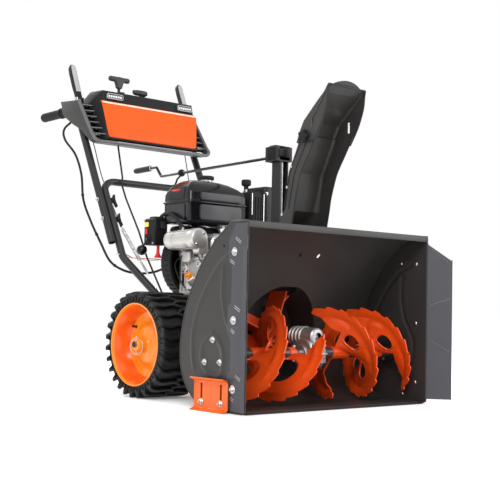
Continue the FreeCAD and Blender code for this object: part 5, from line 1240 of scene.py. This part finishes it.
def build_control_box():
    """Switch box with its socket, rocker, choke pull and throttle lever."""
    box_body = slab((-172, 702, 480), (-118, 764, 568), 6, SOFT, "z")
    lid = slab((-168, 706, 566), (-122, 744, 574), 8, ((0, 0), (0.7, 0.6), (1, 2.6)), "z")
    plug = slab((-166, 700, 530), (-140, 706, 562), 4, SOFT, "y")
    piece("switch_box", joined(box_body, lid, plug), "black_plastic", "machine", ("control_box",),
          bevel=0.8, angle=35)
    pin = lathe([(5, -170), (4, -171.5), (4, -180), (3, -181), (0.02, -181)], (0, 735, 500), X, 24,
                LAST)
    screws = [bolt((-172.2, y, z), (-1, 0, 0), 2.6, 1.3, 2)
              for y, z in ((708, 486), (758, 486), (758, 562))]
    piece("switch_box_metal", joined(pin, *screws), "zinc_steel")
    socket = slab((-150, 698, 535), (-126, 704, 560), 5, SOFT, "y")
    piece("mains_socket", socket, "black_plastic", look="strap_grey")
    label = slab((-173.4, 736, 540), (-171.6, 758, 556), 2, ((0, 0.4), (0.4, 0), (1, 0)), "x")
    side_label = slab((-168, 763.4, 505), (-140, 764.8, 552), 2, ((0, 0), (0.6, 0), (1, 0.4)), "y")
    piece("blank_labels", joined(label, side_label), "black_plastic", look="label_yellow")
    rocker = []
    for lift, inset in ((-170.6, 0), (-175, 0.4), (-176.6, 1.6)):
        rocker.append([(lift - (0.9 if v > 525 else 0), u, v) for u, v in
                       oblong(739.6 + inset, 752.4 - inset, 515.6 + inset, 534.4 - inset, 2, 3)])
    piece("rocker", rings_mesh(rocker), "red_plastic", "stop_switch", ("stop_switch",), bevel=0.4)
    pull = lathe([(0.02, 438), (9, 438), (12, 439), (12.4, 441), (11, 444), (7.5, 449), (5.6, 456),
                  (5.0, 464), (5.0, 498), (0.02, 498)], (-146, 716, 0), Z, 32)
    piece("choke_trumpet", pull, "red_plastic", "choke_pull", ("choke_pull",))
    ball = lathe(spindle((6.5, 16.2), (12.5, 12.2), (16.4, 6), (17.5, 0), end=17.4),
                 (-192, 742, 463), Z, 36)
    arm = sweep([(-178, 737.4, 494), (-184, 739.6, 483), (-190, 742, 473)], 3.0, 12)
    eye = lathe([(4.1, -183), (8, -183), (8, -179.5), (4.1, -179.5)], (0, 735, 500), X, 28)
    piece("throttle_ball", joined(ball, arm, closed_lathe(eye, 28)), "black_plastic", "throttle_lever",
          ("throttle_lever",), look="gloss_black", angle=50)


def build_covers():
    """Winter shroud, silencer guard and belt cover: seams, ribs, louvres and screws."""
    shroud = slab((102, 540, 508), (157, 684, 668), 12, SOFT, "z")
    ribs = [slab((108 + i * 12, 537.6, 530), (114 + i * 12, 541, 652), 2.5, SOFT, "y") for i in range(4)]
    seam = slab((100.6, 604, 510), (158.4, 609, 669.6), 6, ((0, 1), (0.5, 0), (1, 1)), "y")
    piece("shroud_skin", joined(shroud, seam, *ribs), "black_plastic", "machine", ("carb_cover",), bevel=1,
          angle=35)
    knob = lathe([(8, 678), (8, 688), (14, 690), (16.5, 694), (16.5, 706), (14, 710), (0.02, 711)],
                 (112, 580, 0), Z, 40, FIRST)
    stem = lathe([(4, 664), (4, 680)], (112, 580, 0), Z, 20, caps=BOTH)
    strip = [slab((103, 536.8, 590), (106, 538.6, 662), 1.2, SOFT, "y"),
             slab((154, 536.8, 540), (157, 538.6, 662), 1.2, SOFT, "y")]
    piece("shroud_knob", knob, "rubber_black")
    piece("shroud_trim", joined(stem, *strip), "zinc_steel")
    guard = slab((160, 540, 510), (216, 664, 690), 16, SOFT, "z")
    slots = [slab((213.5, 556, 528 + 14 * i), (218, 648, 534 + 14 * i), 2.6, SOFT, "x")
             for i in range(10)]
    pipe = lathe([(13, 214), (13, 250), (11.4, 256), (9.6, 256), (9.6, 230), (0.02, 230)], (0, 602, 560),
                 X, 32)
    piece("silencer_guard", joined(guard, pipe, *slots), "black_steel", "machine", ("muffler",), bevel=1)
    screws = [bolt((188 + dx, 540 + 0.4, 600 + dz), (0, -1, 0), 3.8, 1.5, 3) for dx in (-18, 18)
              for dz in (-60, 66)]
    screws += [bolt((130, y, 668.4), Z, 3.4, 1.5, 3) for y in (630, 668)]
    screws += [bolt((x, 317 - 0.4, 340), (0, -1, 0), 4, 1.5, 3) for x in (-100, 100)]
    piece("cover_screws", joined(*screws), "zinc_steel")
    plug = lathe([(0.02, 0), (7, 0), (9, 4), (9, 20), (7, 26), (7, 36), (0.02, 38)], (98, 516, 452),
                 (0.2, -1, 0.2), 24)
    lead = sweep(smooth_path([(104, 482, 459), (96, 474, 480), (60, 500, 520), (30, 540, 530)], 9), 3.2, 12)
    piece("spark_lead", joined(plug, lead), "rubber_black")


# ------------------------------------------------------------------ chute and drive details

def build_chute_details():
    """Beads, ribs and rivets of the chute, hood clamps and gear head."""
    low = [(507.4, 166, 276), (536, 161, 250), (575, 153, 209), (622, 144, 199), (687, 122, 187),
           (739, 90, 161), (779, 65, 142), (792, 57, 137)]
    hood = [(768, 71, 153), (800, 50, 140), (830, 34, 124), (872, 19, 78), (905, 15, 37), (924, 12, 19)]
    for body, rows, half in (("chute", low, 72), ("hood", hood, 75.5)):
        beads = []
        for side in (-1, 1):
            edge = [(CHUTE_X + side * (half - 1.3), front + 1.5, z) for z, front, back in rows]
            beads.append(sweep(smooth_path(edge, 6), 2.6, 10))
        if body == "hood":
            z, front, back = rows[-1]
            beads.append(sweep([(CHUTE_X + end * (half - 1.3), front + 2, z) for end in (-1, 1)], 2.6, 10))
        ribs = []
        for side in (-1, 1):
            for share in (0.45, 0.8) if body == "chute" else (0.5,):
                line = [(CHUTE_X + side * (half + 0.2), front + (back - front) * share, z)
                        for z, front, back in rows[2:-1]]
                thick = [0.6] + [1.8] * (6 * (len(line) - 1) - 1) + [0.6]
                ribs.append(sweep(smooth_path(line, 6), thick, 8))
        piece(body + "_beads", joined(*beads, *ribs), "black_steel", body)
    rivets = []
    for side in (-1, 1):
        for z, share in ((522, 0.3), (522, 0.6), (560, 0.75), (700, 0.85), (640, 0.85)):
            under, over = [pair for pair in zip(low, low[1:]) if pair[0][0] <= z <= pair[1][0]][0]
            share_up = (z - under[0]) / (over[0] - under[0])
            front, back = [a + (b - a) * share_up for a, b in zip(under[1:], over[1:])]
            place = (CHUTE_X + side * 71.8, front + (back - front) * share, z)
            rivets.append(lathe([(5, 0), (4.6, 1.2), (3, 2.2), (0.02, 2.5)], place, (side, 0, 0), 18, LAST))
    piece("chute_rivets", joined(*rivets), "zinc_steel", "chute")
    knobs = []
    for side in (-1, 1):
        face = CHUTE_X + side * 75.5

        def lobes(radius, height, angle, index):
            """Five lobes on the knob."""
            return (radius * (0.86 + 0.14 * cos(5 * angle)), height) if 1 <= index <= 4 \
                else (radius, height)

        knobs.append(lathe([(8, 1), (19, 3), (20, 6), (20, 12), (18, 15), (8, 16), (0.02, 16)],
                           (face, 107, 782), (side, 0, 0), 60, FIRST, lobes=lobes))
        knobs.append(lathe([(4.7, -3.2), (4.7, 2)], (face, 107, 782), (side, 0, 0), 20, caps=BOTH))
    piece("hood_clamps", joined(*knobs), "black_plastic", "hood_knobs", ("hood_knobs",), angle=40)
    px, py = polar((CHUTE_X, 205), 105, 83)
    head = slab((px - 30, py - 16, 736), (px + 30, py + 42, 784), 10, SOFT, "z")
    drum = lathe([(28, 748), (30, 750), (30, 772), (27, 775), (0.02, 776)], (px, py - 2, 0), Z, 44,
                 FIRST)
    lid = slab((px - 24, py + 2, 783), (px + 24, py + 38, 788), 8, ((0, 0), (0.6, 0.5), (1, 2.5)), "z")
    piece("gear_head", joined(head, drum, lid), "black_plastic", bevel=1, angle=35)
    screws = [bolt((px + dx, py + 44.5 - 2.2, 756), Y, 3.6, 1.4, 3) for dx in (-20, 20)]
    screws += [bolt((px + dx, py + 24.6, z), Y, 4, 1.5, 3) for dx in (-9, 9) for z in (500, 560, 700)]
    piece("gear_post_screws", joined(*screws), "zinc_steel")


def build_drive_details():
    """Bolts of the case and drum, the pressed ribs of the transmission case and the drum's seam ring."""
    bolts = [bolt((side * 130, y, z), (side, 0, 0), 4.6, 1.5, 4)
             for side in (-1, 1) for y in (480, 675) for z in (135, 270)]
    for angle in range(0, 360, 60):
        x, z = polar(DRUM_MIDDLE, 138, angle)
        bolts.append(bolt((x, 387.6, z), Y, 4.4, 1.5, 3.5))
    piece("case_bolts", joined(*bolts), "zinc_steel")
    ribs = [slab((x, 699, 140), (x + 26, 702.4, 270), 8, ((0, 0), (0.6, 0.5), (1, 2)), "y")
            for x in range(-110, 130, 60)]
    piece("case_ribs", joined(*ribs), "black_steel", bevel=0.6)
    ring = [(152.6 * cos(2 * pi * k / 96), 384, 200 + 152.6 * sin(2 * pi * k / 96)) for k in range(96)]
    piece("drum_seams", sweep(ring, 2.0, 8, loop=True), "charcoal_steel")


def build_wing_details():
    """Folds pressed across each drift wing and a row of short slots under its sloping top, drawn in a
    lighter grey as painted highlights along the creases.
    """
    flare = radians(WING_FLARE)
    out, ahead = sin(flare), cos(flare)
    folds = []
    for side in (-1, 1):
        def on_blade(share, z):
            """A point just proud of the blade, at a share of its reach."""
            reach = 6 + (WING_REACH - 10) * share
            return (side * (360 + reach * out - 0.2 * ahead), -reach * ahead - 0.2 * out, z)

        for first, last in ((196, 158), (300, 322)):
            line = [on_blade(t / 8, first + (last - first) * t / 8) for t in range(9)]
            folds.append(sweep(line, [0.4] + [1.3] * 7 + [0.4], 10))
        for index in range(7):
            share = 0.12 + 0.11 * index
            slot = [on_blade(share, 477 - 46 * share), on_blade(share + 0.05, 466 - 46 * share)]
            folds.append(sweep(slot, 1.1, 8))
    piece("wing_folds", joined(*folds), "wing_steel", look="highlight_grey", angle=60)


# These long rods are blackened, although their slot is bare steel.
DARK_RODS = {"crank_rod": "rod_black", "shift_rod": "rod_black"}


def dress_cad():
    """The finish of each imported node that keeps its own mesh."""
    slots = {item["node"]: item["material_slot"] for item in frame["record"]["subparts"]}
    for name, obj in frame["nodes"].items():
        obj.data.materials.clear()
        obj.data.materials.append(MATS[DARK_RODS.get(name, slots[name])])
        shade(obj, 30)


add_camera()
add_studio()
dress_cad()
build_auger()
build_gearbox()
build_side_plates()
build_shoes_and_bolts()
build_wheels()
build_console()
build_selectors()
build_levers_and_grips()
build_clamps()
build_cables()
build_crank()
build_tank()
build_block()
build_starter()
build_recoil()
build_control_box()
build_covers()
build_chute_details()
build_drive_details()
build_wing_details()
